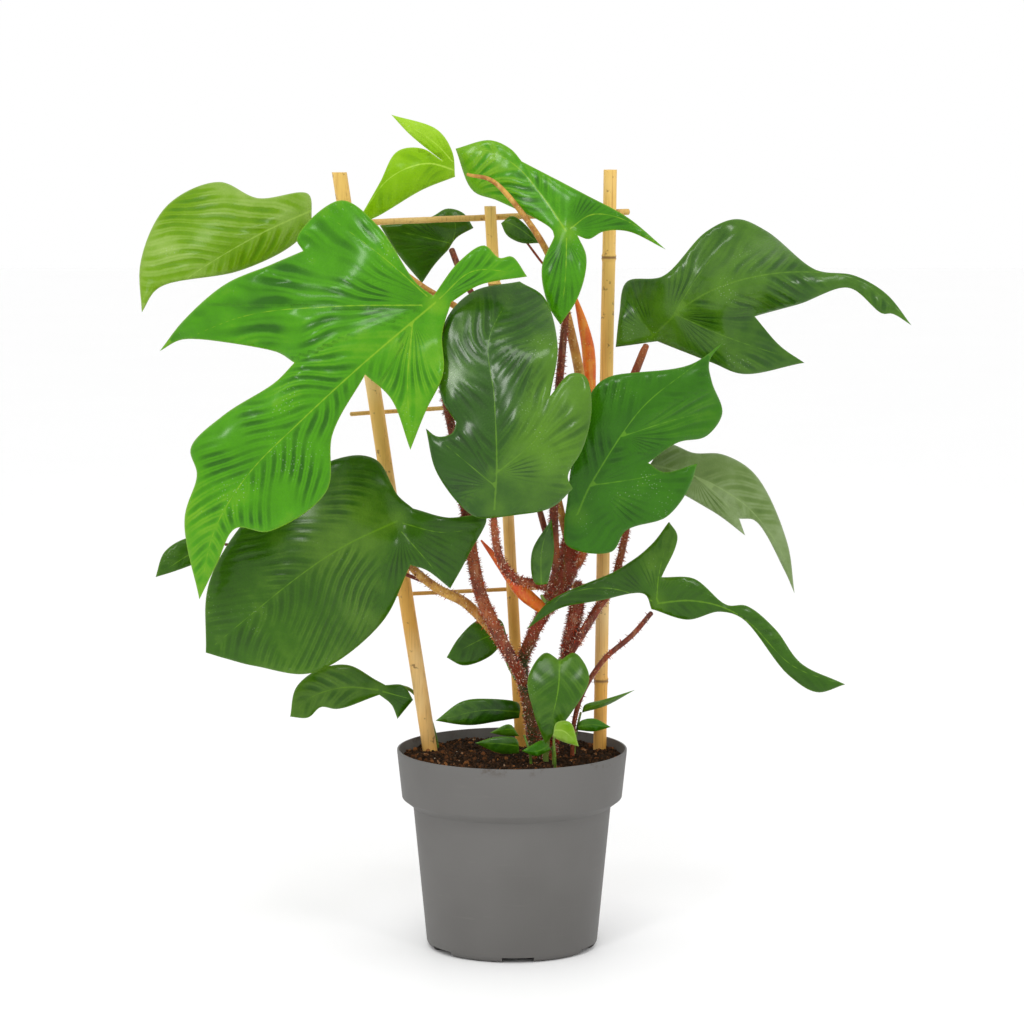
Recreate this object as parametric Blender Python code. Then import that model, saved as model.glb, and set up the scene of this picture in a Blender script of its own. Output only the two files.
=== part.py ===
"""A philodendron in a grey nursery pot, climbing a bamboo trellis. Metres, +Z up.

The front of the plant faces -Y. The origin is the middle of the pot's base, on the surface
that it stands on. Sizes in the lists below are millimetres; MM turns them into metres.
"""
import math

import bpy
import bmesh
import numpy as np
from mathutils import Matrix, Vector, geometry, noise

MM = 0.001
GAP = 0.35                 # clearance between neighbouring pieces

# Pot: a round nursery pot, 19 cm across the rim
POT_HEIGHT = 165.0
RIM_RADIUS = 95.0
COLLAR_RADIUS = 91.0       # lower end of the collar
COLLAR_BOTTOM = 125.0
STEP_RADIUS = 82.0
STEP_BOTTOM = 118.0
STEP_EASE = 3.0            # height of the little flare under the step
STEP_FLARE = 0.5
BASE_RADIUS = 71.0
BASE_ROUND = 6.0
WALL = 1.6
COLLAR_RISE = 1.0          # the collar's inner corner stands this much above its outer one
CORNER = 3.0               # chamfer between the inner wall and the floor
LIP = 2.0                  # height of the upright band at the rim
LIP_EDGE = 0.6             # rounding of the rim's edge
FLOOR_TOP = 6.0
FLOOR_UNDER = 4.0
FOOT_INNER = 60.0
PAD_RADIUS = 18.0
DRAIN_COUNT = 8
DRAIN_RADIUS = 5.0
DRAIN_CIRCLE = 42.0
NOTCH_COUNT = 6
NOTCH_WIDTH = 26.0
NOTCH_HEIGHT = 4.5
NOTCH_TURN = 184.0         # degrees from +Y to the first notch, so that one faces the front
POT_SIDES = 64

SOIL_TOP = 157.0
SOIL_BUMP = 2.5
SOIL_BUMP_SCALE = 0.045
SOIL_SEED = 7.0
SOIL_EDGE = 3.0            # the soil drops this much against the wall
SOIL_RINGS = 7
SOIL_SIDES = 40
HOLE_MARGIN = 1.2          # a rooted stem's hole is wider than the stem by this much all round
HOLE_DEPTH = 1.0           # the hole goes this far under the stem's foot
HOLE_SIDES = 16
CUT_PAST = 5.0             # how far a cutter reaches past what it cuts
CANE_MARGIN = 0.6

LEAF_THICKNESS = 1.2
LEAF_GRID = 14.0           # spacing of a blade's inner points
LEAF_EDGE_STEP = 10.0      # spacing of points along its margin
ROW_SHIFT = (0.25, 0.75)   # where a row of inner points starts, in spacings, in turn
ROW_RISE = 0.866           # from one row to the next, in spacings
EDGE_CLEAR = 0.6           # inner points stay this far from the margin, in spacings
LEAF_CREASE = 60.0         # degrees over which an edge of the blade is sharp
SPLINE_SAMPLES = 8         # points worked out between two margin points
VEIN_STEP = 3.0            # spacing of the points worked out along a vein
VEIN_ANCHORS = 6           # every so many of them pins the blade's depth
ANCHOR_GAP = 4.0           # a margin point nearer to a vein than this pins nothing
PLATE_SOFTNESS = 60.0      # how far the blade may smooth its pins out

CANE_SIDES = 12
RING_BELOW = 5.0           # a cane's node ring starts this far under its height
RING_HALF = 1.0
RING_ABOVE = 4.0
RING_SWELL = 0.7
RING_CLEAR = 10.0          # a cane's foot stays this far below its first ring
RUNG_GAP = 1.0             # the rungs stay this far behind the canes
TUBE_STEP = 8.0
TUBE_ROUNDNESS = 2         # bevel resolution of a stem, which gives it 12 sides

COLOURS = {
    "pot_grey": ((0.150, 0.147, 0.142), 0.55),
    "soil_dark": ((0.028, 0.016, 0.010), 0.95),
    "bamboo_tan": ((0.520, 0.330, 0.150), 0.45),
    "rung_tan": ((0.420, 0.270, 0.120), 0.60),
    "leaf_mature": ((0.030, 0.115, 0.022), 0.30),
    "leaf_dark": ((0.014, 0.060, 0.018), 0.25),
    "leaf_young": ((0.230, 0.420, 0.045), 0.38),
    "leaf_pale": ((0.170, 0.250, 0.120), 0.45),
    "stem_brown": ((0.160, 0.105, 0.035), 0.60),
    "petiole_red": ((0.150, 0.028, 0.018), 0.60),
    "petiole_tan": ((0.360, 0.190, 0.070), 0.55),
    "stem_green": ((0.130, 0.220, 0.030), 0.50),
    "sheath_orange": ((0.480, 0.170, 0.035), 0.50),
}

# Bamboo canes: foot in the soil, height of the soil crossing, top; radius; heights of the node rings
CANES = {
    "cane_left": {"foot": (-49, 27, 30), "top": (-142, 40, 638), "radius": 6.2, "nodes": (120, 330, 520)},
    "cane_middle": {"foot": (15, 50, 30), "top": (-18, 45, 610), "radius": 4.8, "nodes": (150, 360, 545)},
    "cane_right": {"foot": (73, 37, 132), "top": (81, 45, 640), "radius": 5.5, "nodes": (215, 400, 568)},
}

# Rungs: they cross behind the canes, sticking out past the outer ones
RUNGS = {
    "rung_top": {"left": (-152, 595), "right": (96, 605), "radius": 2.6},
    "rung_middle": {"left": (-134, 437), "right": (94, 452), "radius": 1.8},
    "rung_bottom": {"left": (-99, 285), "right": (90, 294), "radius": 1.7},
}

# Stems and leaf stalks: the route, and the radius at each point of it
STEMS = {
    "main_stem": {
        "colour": "stem_brown",
        "route": [(19, 0, 150), (19, 0, 168), (13, 0, 205), (8, 0, 232), (15, -2, 255), (26, -3, 278),
                  (37, -4, 297), (48, -4, 328), (54, 0, 352)],
        "radius": [6, 5.5, 5, 5.2, 4.8, 5.5, 9, 9.5, 8]},
    "stem_right": {
        "colour": "petiole_red",
        "route": [(33, 8, 150), (34, 8, 166), (37, 6, 195), (43, 0, 226), (46, -5, 250), (51, -8, 272),
                  (54, -12, 290), (54, -14, 304)],
        "radius": [3.6, 3.6, 3.8, 4.4, 5.2, 5.8, 5.2, 3.6]},
    "sheath_low": {
        "colour": "sheath_orange",
        "route": [(23, -15, 285), (8, -20, 299), (-9, -22, 321), (-25, -24, 341)],
        "radius": [5, 6, 3.8, 0.8]},
    "sheath_high": {
        "colour": "sheath_orange",
        "route": [(64, 17, 455), (63, 22, 490), (58, 22, 515), (51, 22, 540)],
        "radius": [5, 5.5, 4, 0.8]},
    "petiole_big_left": {
        "colour": "petiole_red",
        "route": [(10, -10, 222), (0, -20, 242), (-17, -24, 276), (-29, -30, 312), (-42, -48, 400),
                  (-56, -72, 480), (-60, -91, 530)],
        "radius": [4, 4.8, 5.2, 5, 3.8, 3.2, 2.6]},
    "petiole_centre": {
        "colour": "petiole_red",
        "route": [(33, -16, 300), (18, -32, 307), (2, -50, 314), (-10, -80, 335), (-14, -104, 362),
                  (-14, -107, 374)],
        "radius": [3.2, 3.4, 3.4, 3, 2.8, 2]},
    "petiole_centre_right": {
        "colour": "petiole_red",
        "route": [(54, -14, 320), (58, -28, 332), (55, -44, 348), (53, -56, 360)],
        "radius": [3.2, 3.2, 3, 2.6]},
    "petiole_lower_left": {
        "colour": "petiole_tan",
        "route": [(2, -6, 236), (-18, -10, 266), (-38, -14, 288), (-62, -22, 302), (-84, -34, 324),
                  (-91, -40, 350)],
        "radius": [3.4, 4, 4.2, 3.8, 3.2, 2.6]},
    "petiole_new_top": {
        "colour": "petiole_tan",
        "route": [(55, 14, 350), (58, 14, 400), (57, 10, 460), (49, -2, 505), (36, -7, 556), (20, -16, 590),
                  (-12, -20, 630), (-36, -16, 638)],
        "radius": [4.6, 4.8, 4.4, 3.8, 3, 2.6, 2, 1.3]},
    "petiole_top": {
        "colour": "petiole_red",
        "route": [(36, -15, 316), (34, -26, 370), (36, -26, 440), (42, -22, 510), (46, -22, 560),
                  (45, -20, 584)],
        "radius": [3.4, 3.6, 3.4, 3, 2.6, 2.2]},
    "petiole_upper_right": {
        "colour": "petiole_red",
        "route": [(64, 6, 344), (80, 12, 400), (92, 13, 450), (106, 13, 488), (110, 15, 497)],
        "radius": [3.8, 3.8, 3.6, 3.2, 2.6]},
    "petiole_mid_right": {
        "colour": "petiole_red",
        "route": [(49, -13, 248), (57, -15, 262), (68, -12, 280), (84, -5, 306), (96, -8, 360),
                  (102, -20, 401)],
        "radius": [3, 3.4, 3.4, 3, 2.6, 2.2]},
    "petiole_lower_right": {
        "colour": "petiole_red",
        "route": [(50, 2, 152), (50, 2, 166), (52, 1, 190), (60, -2, 215), (76, -5, 240), (98, -9, 260),
                  (114, -16, 280)],
        "radius": [1.9, 1.9, 2, 2.1, 2.2, 2.2, 2]},
    "petiole_upper_left": {
        "colour": "petiole_tan",
        "route": [(45, 10, 340), (30, 20, 400), (5, 16, 480), (-35, 4, 522), (-75, -2, 548),
                  (-120, -4, 582), (-154, -8, 606)],
        "radius": [3.2, 3.2, 3, 2.8, 2.6, 2.4, 2]},
    "petiole_behind_rung": {
        "colour": "petiole_red",
        "route": [(38, 9, 306), (12, 28, 400), (-14, 32, 500), (-40, 48, 550), (-50, 61, 573)],
        "radius": [2.6, 2.6, 2.4, 2.6, 2.6]},
    "petiole_small_yellow": {
        "colour": "stem_brown",
        "route": [(45, 2, 518), (40, 10, 535), (32, 20, 555), (22, 23, 568), (4, 25, 592)],
        "radius": [1.1, 1.1, 1.1, 1, 0.9]},
    "petiole_small_left": {
        "colour": "stem_green",
        "route": [(-62, 44, 150), (-64, 44, 165), (-72, 43, 190), (-86, 36, 208), (-104, 20, 213)],
        "radius": [1.6, 1.6, 1.6, 1.5, 1.2]},
    "petiole_far_left": {
        "colour": "petiole_red",
        "route": [(4, 6, 236), (-2, 12, 243), (-8, 18, 249), (-20, 21, 264), (-42, 14, 288), (-80, 6, 306),
                  (-140, -4, 328), (-234, -18, 337)],
        "radius": [2, 2, 2, 1.9, 1.8, 1.6, 1.5, 1.2]},
    "petiole_heart_front": {
        "colour": "stem_green",
        "route": [(28, -14, 152), (28, -14, 164), (31, -18, 190), (38, -25, 226), (39, -31, 244)],
        "radius": [2.4, 2.4, 2.2, 1.8, 1.4]},
    "petiole_small_by_stem": {
        "colour": "stem_green",
        "route": [(3, 2, 222), (-4, 6, 236), (-6, 11, 250)],
        "radius": [1.3, 1.2, 1.1]},
    "petiole_upright_dark": {
        "colour": "stem_green",
        "route": [(32, -15, 288), (27, -30, 292), (24, -41, 298)],
        "radius": [1.6, 1.5, 1.2]},
    "petiole_ground_left": {
        "colour": "stem_green",
        "route": [(13, 7, 181), (12, 10, 186), (9, 13, 190)],
        "radius": [1.2, 1.2, 1]},
    "petiole_ground_small": {
        "colour": "stem_green",
        "route": [(16, -28, 151), (15, -30, 164), (13, -29, 172), (10, -25, 180)],
        "radius": [1.1, 1.1, 1, 0.9]},
    "petiole_ground_tuft": {
        "colour": "stem_green",
        "route": [(34, -36, 151), (34, -37, 164), (33, -38, 173)],
        "radius": [1.2, 1.2, 1]},
    "petiole_ground_bright": {
        "colour": "stem_green",
        "route": [(35, -52, 151), (35, -54, 166), (34, -57, 179), (34, -58, 187)],
        "radius": [1.1, 1.1, 1, 0.9]},
    "petiole_ground_right": {
        "colour": "stem_green",
        "route": [(52, 10, 151), (52, 9, 166), (54, 8, 180), (57, 9, 193)],
        "radius": [1.1, 1.1, 1, 0.9]},
}

# These grow out of the soil
ROOTED = ("main_stem", "stem_right", "petiole_lower_right", "petiole_small_left", "petiole_heart_front",
          "petiole_ground_small", "petiole_ground_tuft", "petiole_ground_bright", "petiole_ground_right")

# Leaf blades. "at" is where the stalk meets the blade; the other places are in mm from it. "veins" are the
# midrib, which starts at the stalk, and then the main vein of each lobe, as (x, y, z). "margin" is the
# outline in the front elevation (x, z), as smooth stretches that each end in a point or a notch. "fold" is
# how far the blade recedes per mm from its nearest vein, on the left and on the right of that vein.
LEAVES = {
    "leaf_big_left": {
        "colour": "leaf_mature", "at": (-60, -95, 540), "fold": (0.12, 0.14),
        "veins": [
            [(0, 0, 0), (-55, -28, -45), (-105, -48, -90), (-145, -60, -130), (-172, -62, -175),
             (-185, -50, -230)],
            [(-10, -5, -2), (-80, -22, -2), (-150, -15, -10), (-220, 15, -40)],
            [(-6, -2, 4), (-40, -12, 35), (-85, 5, 68)],
            [(-18, -8, -14), (-22, -18, -60), (-20, -22, -115)],
            [(2, 0, 2), (30, -8, 25), (70, 2, 22)],
        ],
        "margin": [
            [(-15, 15), (-45, 60), (-75, 80), (-110, 50), (-105, 40)],
            [(-130, 30), (-165, 15), (-200, -15), (-220, -40)],
            [(-200, -30), (-125, -38), (-110, -45)],
            [(-125, -60), (-165, -85), (-190, -110), (-185, -130), (-195, -165), (-185, -230)],
            [(-170, -200), (-155, -172), (-130, -175), (-85, -145), (-80, -100), (-55, -55)],
            [(-35, -75), (-20, -115)],
            [(-8, -85), (6, -55), (5, -25), (12, 0)],
            [(35, 14), (72, 20)],
            [(60, 36), (50, 35), (38, 45), (18, 32), (-2, 5)],
        ]},
    "leaf_centre": {
        "colour": "leaf_dark", "at": (-14, -112, 376), "fold": (0.16, 0.16),
        "veins": [
            [(0, 0, 0), (2, -8, 40), (0, 2, 90), (-4, 20, 135), (20, 52, 178)],
            [(1, -5, 20), (-25, -6, 42), (-52, 4, 64)],
            [(1, -6, 30), (35, -8, 60), (66, 8, 102)],
        ],
        "margin": [
            [(-15, -5), (-45, 30), (-54, 65)],
            [(-45, 59), (-33, 62), (-30, 70)],
            [(-42, 90), (-44, 130), (-35, 155), (-15, 172), (20, 178)],
            [(40, 165), (50, 130), (44, 91)],
            [(60, 108), (72, 106), (77, 80), (70, 50), (58, 28), (62, 18)],
            [(45, 2), (5, -5)],
        ]},
    "leaf_centre_right": {
        "colour": "leaf_mature", "at": (52, -62, 366), "fold": (0.15, 0.12),
        "veins": [
            [(0, 0, 0), (14, -12, 32), (50, -18, 87), (90, -6, 119), (117, 14, 138)],
            [(12, -10, 26), (50, -14, 32), (94, 2, 40)],
            [(36, -16, 66), (75, -12, 78), (108, 6, 84)],
        ],
        "margin": [
            [(-8, 10), (-4, 45), (12, 102), (25, 113), (90, 122), (117, 138)],
            [(106, 124), (108, 108), (117, 82), (104, 64), (80, 60), (57, 44)],
            [(70, 36), (97, 42)],
            [(90, 22), (72, 0), (40, -12), (28, -30), (-8, -24), (-10, -3)],
        ]},
    "leaf_lower_left": {
        "colour": "leaf_mature", "at": (-92, -45, 360), "fold": (0.06, 0.14),
        "veins": [
            [(0, 0, 0), (-42, -26, -17), (-78, -46, -39), (-118, -60, -70), (-152, -56, -99)],
            [(3, 0, -2), (35, -12, -8), (66, -8, -5)],
            [(2, -2, -8), (22, -10, -30), (42, -6, -55)],
        ],
        "margin": [
            [(0, 20), (-18, 49), (-45, 52), (-108, 18), (-148, -40), (-152, -99)],
            [(-110, -110), (-65, -115), (-15, -85), (10, -35)],
            [(24, -40), (42, -55)],
            [(58, -25), (71, 4), (40, 4), (12, 10)],
        ]},
    "leaf_upper_right": {
        "colour": "leaf_dark", "at": (113, 10, 503), "fold": (0.14, 0.14),
        "veins": [
            [(0, 0, 0), (32, -18, 31), (70, -38, 50), (118, -55, 58), (165, -70, 51), (204, -84, 18)],
            [(15, -9, 15), (40, -14, 55), (72, -4, 92)],
            [(2, 0, 4), (-12, 4, 22), (-16, 12, 42)],
            [(22, -12, 20), (65, -24, 2), (122, -20, -17)],
        ],
        "margin": [
            [(-28, -7)],
            [(-25, 20), (-19, 46), (10, 52), (45, 88), (70, 98), (95, 88), (130, 60), (160, 56), (185, 42),
             (205, 17)],
            [(190, 26), (182, 26), (156, 46), (118, 32), (84, 20)],
            [(105, -4), (125, -18)],
            [(75, -27), (50, -18), (6, -2)],
        ]},
    "leaf_top": {
        "colour": "leaf_dark", "at": (44, -25, 592), "fold": (0.12, 0.15),
        "veins": [
            [(0, 0, 0), (-17, 12, 25), (-38, 22, 50), (-62, 30, 64), (-88, 34, 66)],
            [(2, 1, 2), (22, 6, 14), (50, 8, 8), (78, -4, -13)],
            [(0, -2, -4), (-1, -12, -35), (-5, -14, -72)],
        ],
        "margin": [
            [(-12, 2), (-55, 24), (-76, 32), (-90, 66)],
            [(-62, 73), (-45, 66), (-36, 56)],
            [(15, 30), (50, 11), (80, -14)],
            [(50, 0), (30, 0), (18, -6), (9, -3)],
            [(16, -20), (10, -50), (-5, -74)],
            [(-15, -58), (-20, -28), (-10, -4)],
        ]},
    "leaf_new_top": {
        "colour": "leaf_young", "at": (-42, -14, 640), "fold": (0.30, 0.30),
        "veins": [
            [(0, 0, 0), (-28, -16, 7), (-58, -26, -6), (-83, -24, -41)],
            [(-3, -1, 5), (-22, -12, 25), (-54, -8, 45)],
        ],
        "margin": [
            [(-6, 16), (-18, 34), (-55, 46)],
            [(-40, 30), (-14, 9)],
            [(-30, 19), (-50, 17), (-64, -8), (-83, -41)],
            [(-68, -36), (-30, -14), (-4, -4)],
        ]},
    "leaf_upper_left": {
        "colour": "leaf_young", "at": (-157, -10, 611), "fold": (0.40, 0.40),
        "veins": [[(0, 0, 0), (-45, -22, -20), (-93, -42, -48), (-138, -58, -81)]],
        "margin": [
            [(-8, 11), (-48, 8), (-80, 21), (-120, 3), (-140, -40), (-138, -81)],
            [(-125, -62), (-60, -49), (-18, -28), (-5, -10)],
        ]},
    "leaf_behind_rung": {
        "colour": "leaf_mature", "at": (-50, 64, 577), "fold": (0.10, 0.10),
        "veins": [
            [(0, 0, 0), (-12, 2, -14), (-25, 4, -32)],
            [(-3, 0, 2), (-30, 4, 8), (-58, 6, 14)],
            [(1, 0, 3), (3, 3, 15), (0, 6, 28)],
        ],
        "margin": [
            [(4, 6), (18, 14)],
            [(10, 26), (-4, 30), (-18, 23), (-60, 16)],
            [(-45, -8), (-25, -32)],
            [(-14, -16), (-3, -4)],
        ]},
    "leaf_small_yellow": {
        "colour": "leaf_young", "at": (-6, 20, 599), "fold": (0.10, 0.10),
        "veins": [[(0, 0, 0), (12, -2, -6), (28, -4, -18)]],
        "margin": [[(6, 4), (18, -4), (28, -18)], [(14, -18), (2, -12), (-3, -2)]]},
    "leaf_lower_right": {
        "colour": "leaf_mature", "at": (118, -22, 289), "fold": (0.08, 0.08),
        "veins": [
            [(0, 0, 0), (27, -12, 4), (53, -22, 0), (76, -32, -13), (108, -45, -44), (150, -55, -59)],
            [(0, -2, 3), (2, -4, 25), (10, 0, 62)],
            [(-3, -1, 2), (-40, -10, 14), (-75, -12, 8), (-104, -10, -18)],
        ],
        "margin": [
            [(-10, 8), (-45, 4), (-80, -3), (-106, -20)],
            [(-88, 3), (-30, 30), (-5, 48), (10, 67)],
            [(17, 55), (4, 22)],
            [(30, 22), (56, 2), (72, 2), (95, -16), (115, -42), (150, -58)],
            [(128, -65), (105, -52), (68, -8), (50, -4), (25, -12), (-4, -5)],
        ]},
    "leaf_mid_right": {
        "colour": "leaf_pale", "at": (104, -25, 405), "fold": (0.25, 0.25),
        "veins": [
            [(0, 0, 0), (40, 6, -10), (72, 14, -26), (95, 20, -45), (117, 26, -76), (129, 30, -112)],
            [(45, 7, -12), (68, 12, -32), (86, 16, -58)],
        ],
        "margin": [
            [(22, 14), (44, 7), (68, 5), (95, -12), (122, -68), (129, -112)],
            [(120, -92), (95, -50), (82, -48)],
            [(87, -62)],
            [(65, -45), (4, -8)],
        ]},
    "leaf_small_by_stem": {
        "colour": "leaf_mature", "at": (-4, 15, 262), "fold": (0.10, 0.10),
        "veins": [[(0, 0, 0), (-22, -6, -8), (-50, -12, -22)]],
        "margin": [[(-6, 8), (-24, 8), (-40, -6), (-50, -22)], [(-36, -29), (-14, -22), (0, -6)]]},
    "leaf_small_left": {
        "colour": "leaf_mature", "at": (-110, 14, 211), "fold": (0.12, 0.12),
        "veins": [
            [(0, 0, 0), (-28, -10, 4), (-55, -16, -3), (-73, -20, -19)],
            [(2, 0, -1), (14, -3, -4), (26, -2, -7)],
        ],
        "margin": [
            [(-2, 8), (-25, 22), (-48, 20), (-68, 5), (-73, -19)],
            [(-58, -20), (-48, -12), (-34, -14), (0, -4)],
            [(10, -12), (15, -24)],
            [(28, -8)],
            [(20, 4), (5, 4)],
        ]},
    "leaf_heart_front": {
        "colour": "leaf_mature", "at": (39, -36, 247), "fold": (0.20, 0.20),
        "veins": [[(0, 0, 0), (-2, -14, -28), (-12, -12, -70)]],
        "margin": [
            [(-12, 3), (-26, -16), (-22, -42), (-12, -70)],
            [(10, -43), (24, -16), (12, 3), (0, -3)],
        ]},
    "leaf_ground_left": {
        "colour": "leaf_dark", "at": (14, 12, 192), "fold": (0.20, 0.20),
        "veins": [[(0, 0, 0), (-37, -10, 4), (-77, -20, -3)]],
        "margin": [[(-8, 8), (-30, 13), (-55, 12), (-77, -3)], [(-50, -8), (-25, -6), (-8, -4)]]},
    "leaf_ground_small": {
        "colour": "leaf_mature", "at": (8, -24, 183), "fold": (0.20, 0.20),
        "veins": [[(0, 0, 0), (-12, -6, 3), (-26, -10, 1)]],
        "margin": [[(-10, 7), (-26, 1)], [(-12, -3), (-2, -4)]]},
    "leaf_ground_low": {
        "colour": "leaf_dark", "at": (12, -34, 172), "fold": (0.20, 0.20),
        "veins": [[(0, 0, 0), (-20, -8, 4), (-42, -14, 6)]],
        "margin": [[(-8, 7), (-24, 10), (-42, 6)], [(-22, -4), (-6, -5)]]},
    "leaf_ground_tuft": {
        "colour": "leaf_young", "at": (32, -40, 176), "fold": (0.20, 0.20),
        "veins": [[(0, 0, 0), (-10, -6, -5), (-24, -10, -4)]],
        "margin": [[(-6, 3), (-16, 0), (-24, -4)], [(-12, -9), (0, -5)]]},
    "leaf_ground_bright": {
        "colour": "leaf_young", "at": (33, -60, 191), "fold": (0.10, 0.10),
        "veins": [[(0, 0, 0), (10, -4, -1), (21, -8, -12)]],
        "margin": [[(3, 6), (14, 7), (21, -12)], [(8, -9), (0, -6)]]},
    "leaf_ground_right": {
        "colour": "leaf_young", "at": (54, 4, 182), "fold": (0.10, 0.10),
        "veins": [[(0, 0, 0), (12, 4, 1), (28, 8, -2)]],
        "margin": [[(2, 4), (14, 6), (28, -2)], [(14, -5), (0, -3)]]},
    "leaf_thin_right": {
        "colour": "leaf_mature", "at": (58, 6, 196), "fold": (0.20, 0.20),
        "veins": [[(0, 0, 0), (18, 4, 5), (44, 8, 15)]],
        "margin": [[(2, 4), (18, 8), (44, 15)], [(20, 2), (0, -3)]]},
    "leaf_upright_dark": {
        "colour": "leaf_dark", "at": (24, -43, 300), "fold": (0.20, 0.20),
        "veins": [[(0, 0, 0), (0, -3, 35), (8, -6, 62)]],
        "margin": [[(-5, 8), (-8, 34), (8, 62)], [(10, 34), (5, 8)]]},
    "leaf_far_left": {
        "colour": "leaf_mature", "at": (-238, -20, 336), "fold": (0.12, 0.12),
        "veins": [[(0, 0, 0), (-24, -6, -6), (-52, -12, -24)]],
        "margin": [[(-9, 7), (-27, 7), (-45, -4), (-52, -24)], [(-38, -20), (-6, -9)]]},
}


def millimetres(point):
    """A point given in millimetres, as a vector in metres."""
    return Vector(point) * MM


def clear_scene():
    for item in list(bpy.data.objects):
        bpy.data.objects.remove(item, do_unlink=True)


def make_material(name):
    """The plain material of one kind of surface."""
    material = bpy.data.materials.get(name)
    if material is None:
        colour, roughness = COLOURS[name]
        material = bpy.data.materials.new(name)
        material.use_nodes = True
        shader = material.node_tree.nodes["Principled BSDF"]
        shader.inputs["Base Color"].default_value = (*colour, 1.0)
        shader.inputs["Roughness"].default_value = roughness
        shader.inputs["Metallic"].default_value = 0.0
    return material


def add_object(name, data, material_name, location=(0.0, 0.0, 0.0)):
    piece = bpy.data.objects.new(name, data)
    piece.location = location
    bpy.context.scene.collection.objects.link(piece)
    data.materials.append(make_material(material_name))
    return piece


def finish_mesh(shape, name, crease_degrees=40.0):
    """Turns a bmesh into a mesh with its faces out and its round sides smooth."""
    bmesh.ops.recalc_face_normals(shape, faces=shape.faces)
    mesh = bpy.data.meshes.new(name)
    shape.to_mesh(mesh)
    shape.free()
    mesh.shade_smooth()
    mesh.set_sharp_from_angle(angle=math.radians(crease_degrees))
    return mesh


def turned_shape(profile, sides, bump=None):
    """Turns a closed (radius, z) profile in mm about Z. bump(x, y, z) may lift a point."""
    shape = bmesh.new()
    rings = []
    for radius, height in profile:
        ring = []
        count = 1 if radius == 0.0 else sides
        for i in range(count):
            angle = math.tau * i / sides
            x = radius * math.cos(angle)
            y = radius * math.sin(angle)
            lift = bump(x, y, height) if bump else 0.0
            ring.append(shape.verts.new(millimetres((x, y, height + lift))))
        rings.append(ring)
    for ring, above in zip(rings, rings[1:]):
        for i in range(sides):
            j = (i + 1) % sides
            corners = [ring[i % len(ring)], ring[j % len(ring)], above[j % len(above)], above[i % len(above)]]
            corners = list(dict.fromkeys(corners))
            if len(corners) > 2:
                shape.faces.new(corners)
    return shape


def quarter_turn(centre, radius, start, end, count=4):
    """Points of an arc in the (radius, z) plane, angles in degrees."""
    points = []
    for i in range(count + 1):
        angle = math.radians(start + (end - start) * i / count)
        points.append((centre[0] + radius * math.cos(angle), centre[1] + radius * math.sin(angle)))
    return points


def pot_outside():
    """The outside from the foot up to the rim."""
    edge = quarter_turn((BASE_RADIUS - BASE_ROUND, BASE_ROUND), BASE_ROUND, -90.0, 0.0)
    step = [(STEP_RADIUS - STEP_FLARE, STEP_BOTTOM - STEP_EASE), (STEP_RADIUS, STEP_BOTTOM)]
    rim = [(RIM_RADIUS, POT_HEIGHT - LIP), (RIM_RADIUS, POT_HEIGHT - LIP_EDGE)]
    rim.append((RIM_RADIUS - LIP_EDGE, POT_HEIGHT))
    return edge + step + [(COLLAR_RADIUS, COLLAR_BOTTOM)] + rim


def pot_inside(clearance=0.0):
    """The inside from the rim down to the floor, or a plug that keeps a clearance to it."""
    offset = WALL + clearance
    collar = [(RIM_RADIUS - offset, POT_HEIGHT), (COLLAR_RADIUS - offset, COLLAR_BOTTOM + COLLAR_RISE)]
    step = [(STEP_RADIUS - offset, STEP_BOTTOM + STEP_FLARE),
            (STEP_RADIUS - offset - STEP_FLARE, STEP_BOTTOM - STEP_EASE)]
    corner = [(BASE_RADIUS - offset, FLOOR_TOP + BASE_ROUND),
              (BASE_RADIUS - offset - CORNER, FLOOR_TOP + clearance)]
    return collar + step + corner


def cut_with(piece, cutter):
    """Cuts a piece with a cutter that is left out of the model."""
    cutter.hide_render = True
    cutter.display_type = "WIRE"
    modifier = piece.modifiers.new("cut_" + cutter.name, "BOOLEAN")
    modifier.operation = "DIFFERENCE"
    modifier.object = cutter


def round_cutter(name, radius, low, high, spots):
    """One cutter of upright pegs at the given (x, y) spots."""
    shape = bmesh.new()
    for x, y in spots:
        peg = turned_shape([(0.0, low), (radius, low), (radius, high), (0.0, high)], HOLE_SIDES)
        bmesh.ops.translate(peg, vec=millimetres((x, y, 0.0)), verts=peg.verts)
        mesh = finish_mesh(peg, name + "_peg")
        shape.from_mesh(mesh)
    return add_object(name, finish_mesh(shape, name), "pot_grey")


def notch_cutter():
    """Blocks that open the foot ring at even steps, one of them at the front."""
    shape = bmesh.new()
    inner = FOOT_INNER - CUT_PAST
    reach = BASE_RADIUS + CUT_PAST - inner
    for i in range(NOTCH_COUNT):
        block = bmesh.ops.create_cube(shape, size=1.0)["verts"]
        bmesh.ops.scale(shape, vec=millimetres((NOTCH_WIDTH, reach, 2 * NOTCH_HEIGHT)), verts=block)
        bmesh.ops.translate(shape, vec=millimetres((0.0, inner + reach / 2, 0.0)), verts=block)
        turn = math.tau * i / NOTCH_COUNT + math.radians(NOTCH_TURN)
        bmesh.ops.rotate(shape, cent=(0, 0, 0), matrix=Matrix.Rotation(turn, 3, "Z"), verts=block)
    return add_object("cutter_notches", finish_mesh(shape, "cutter_notches"), "pot_grey")


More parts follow.
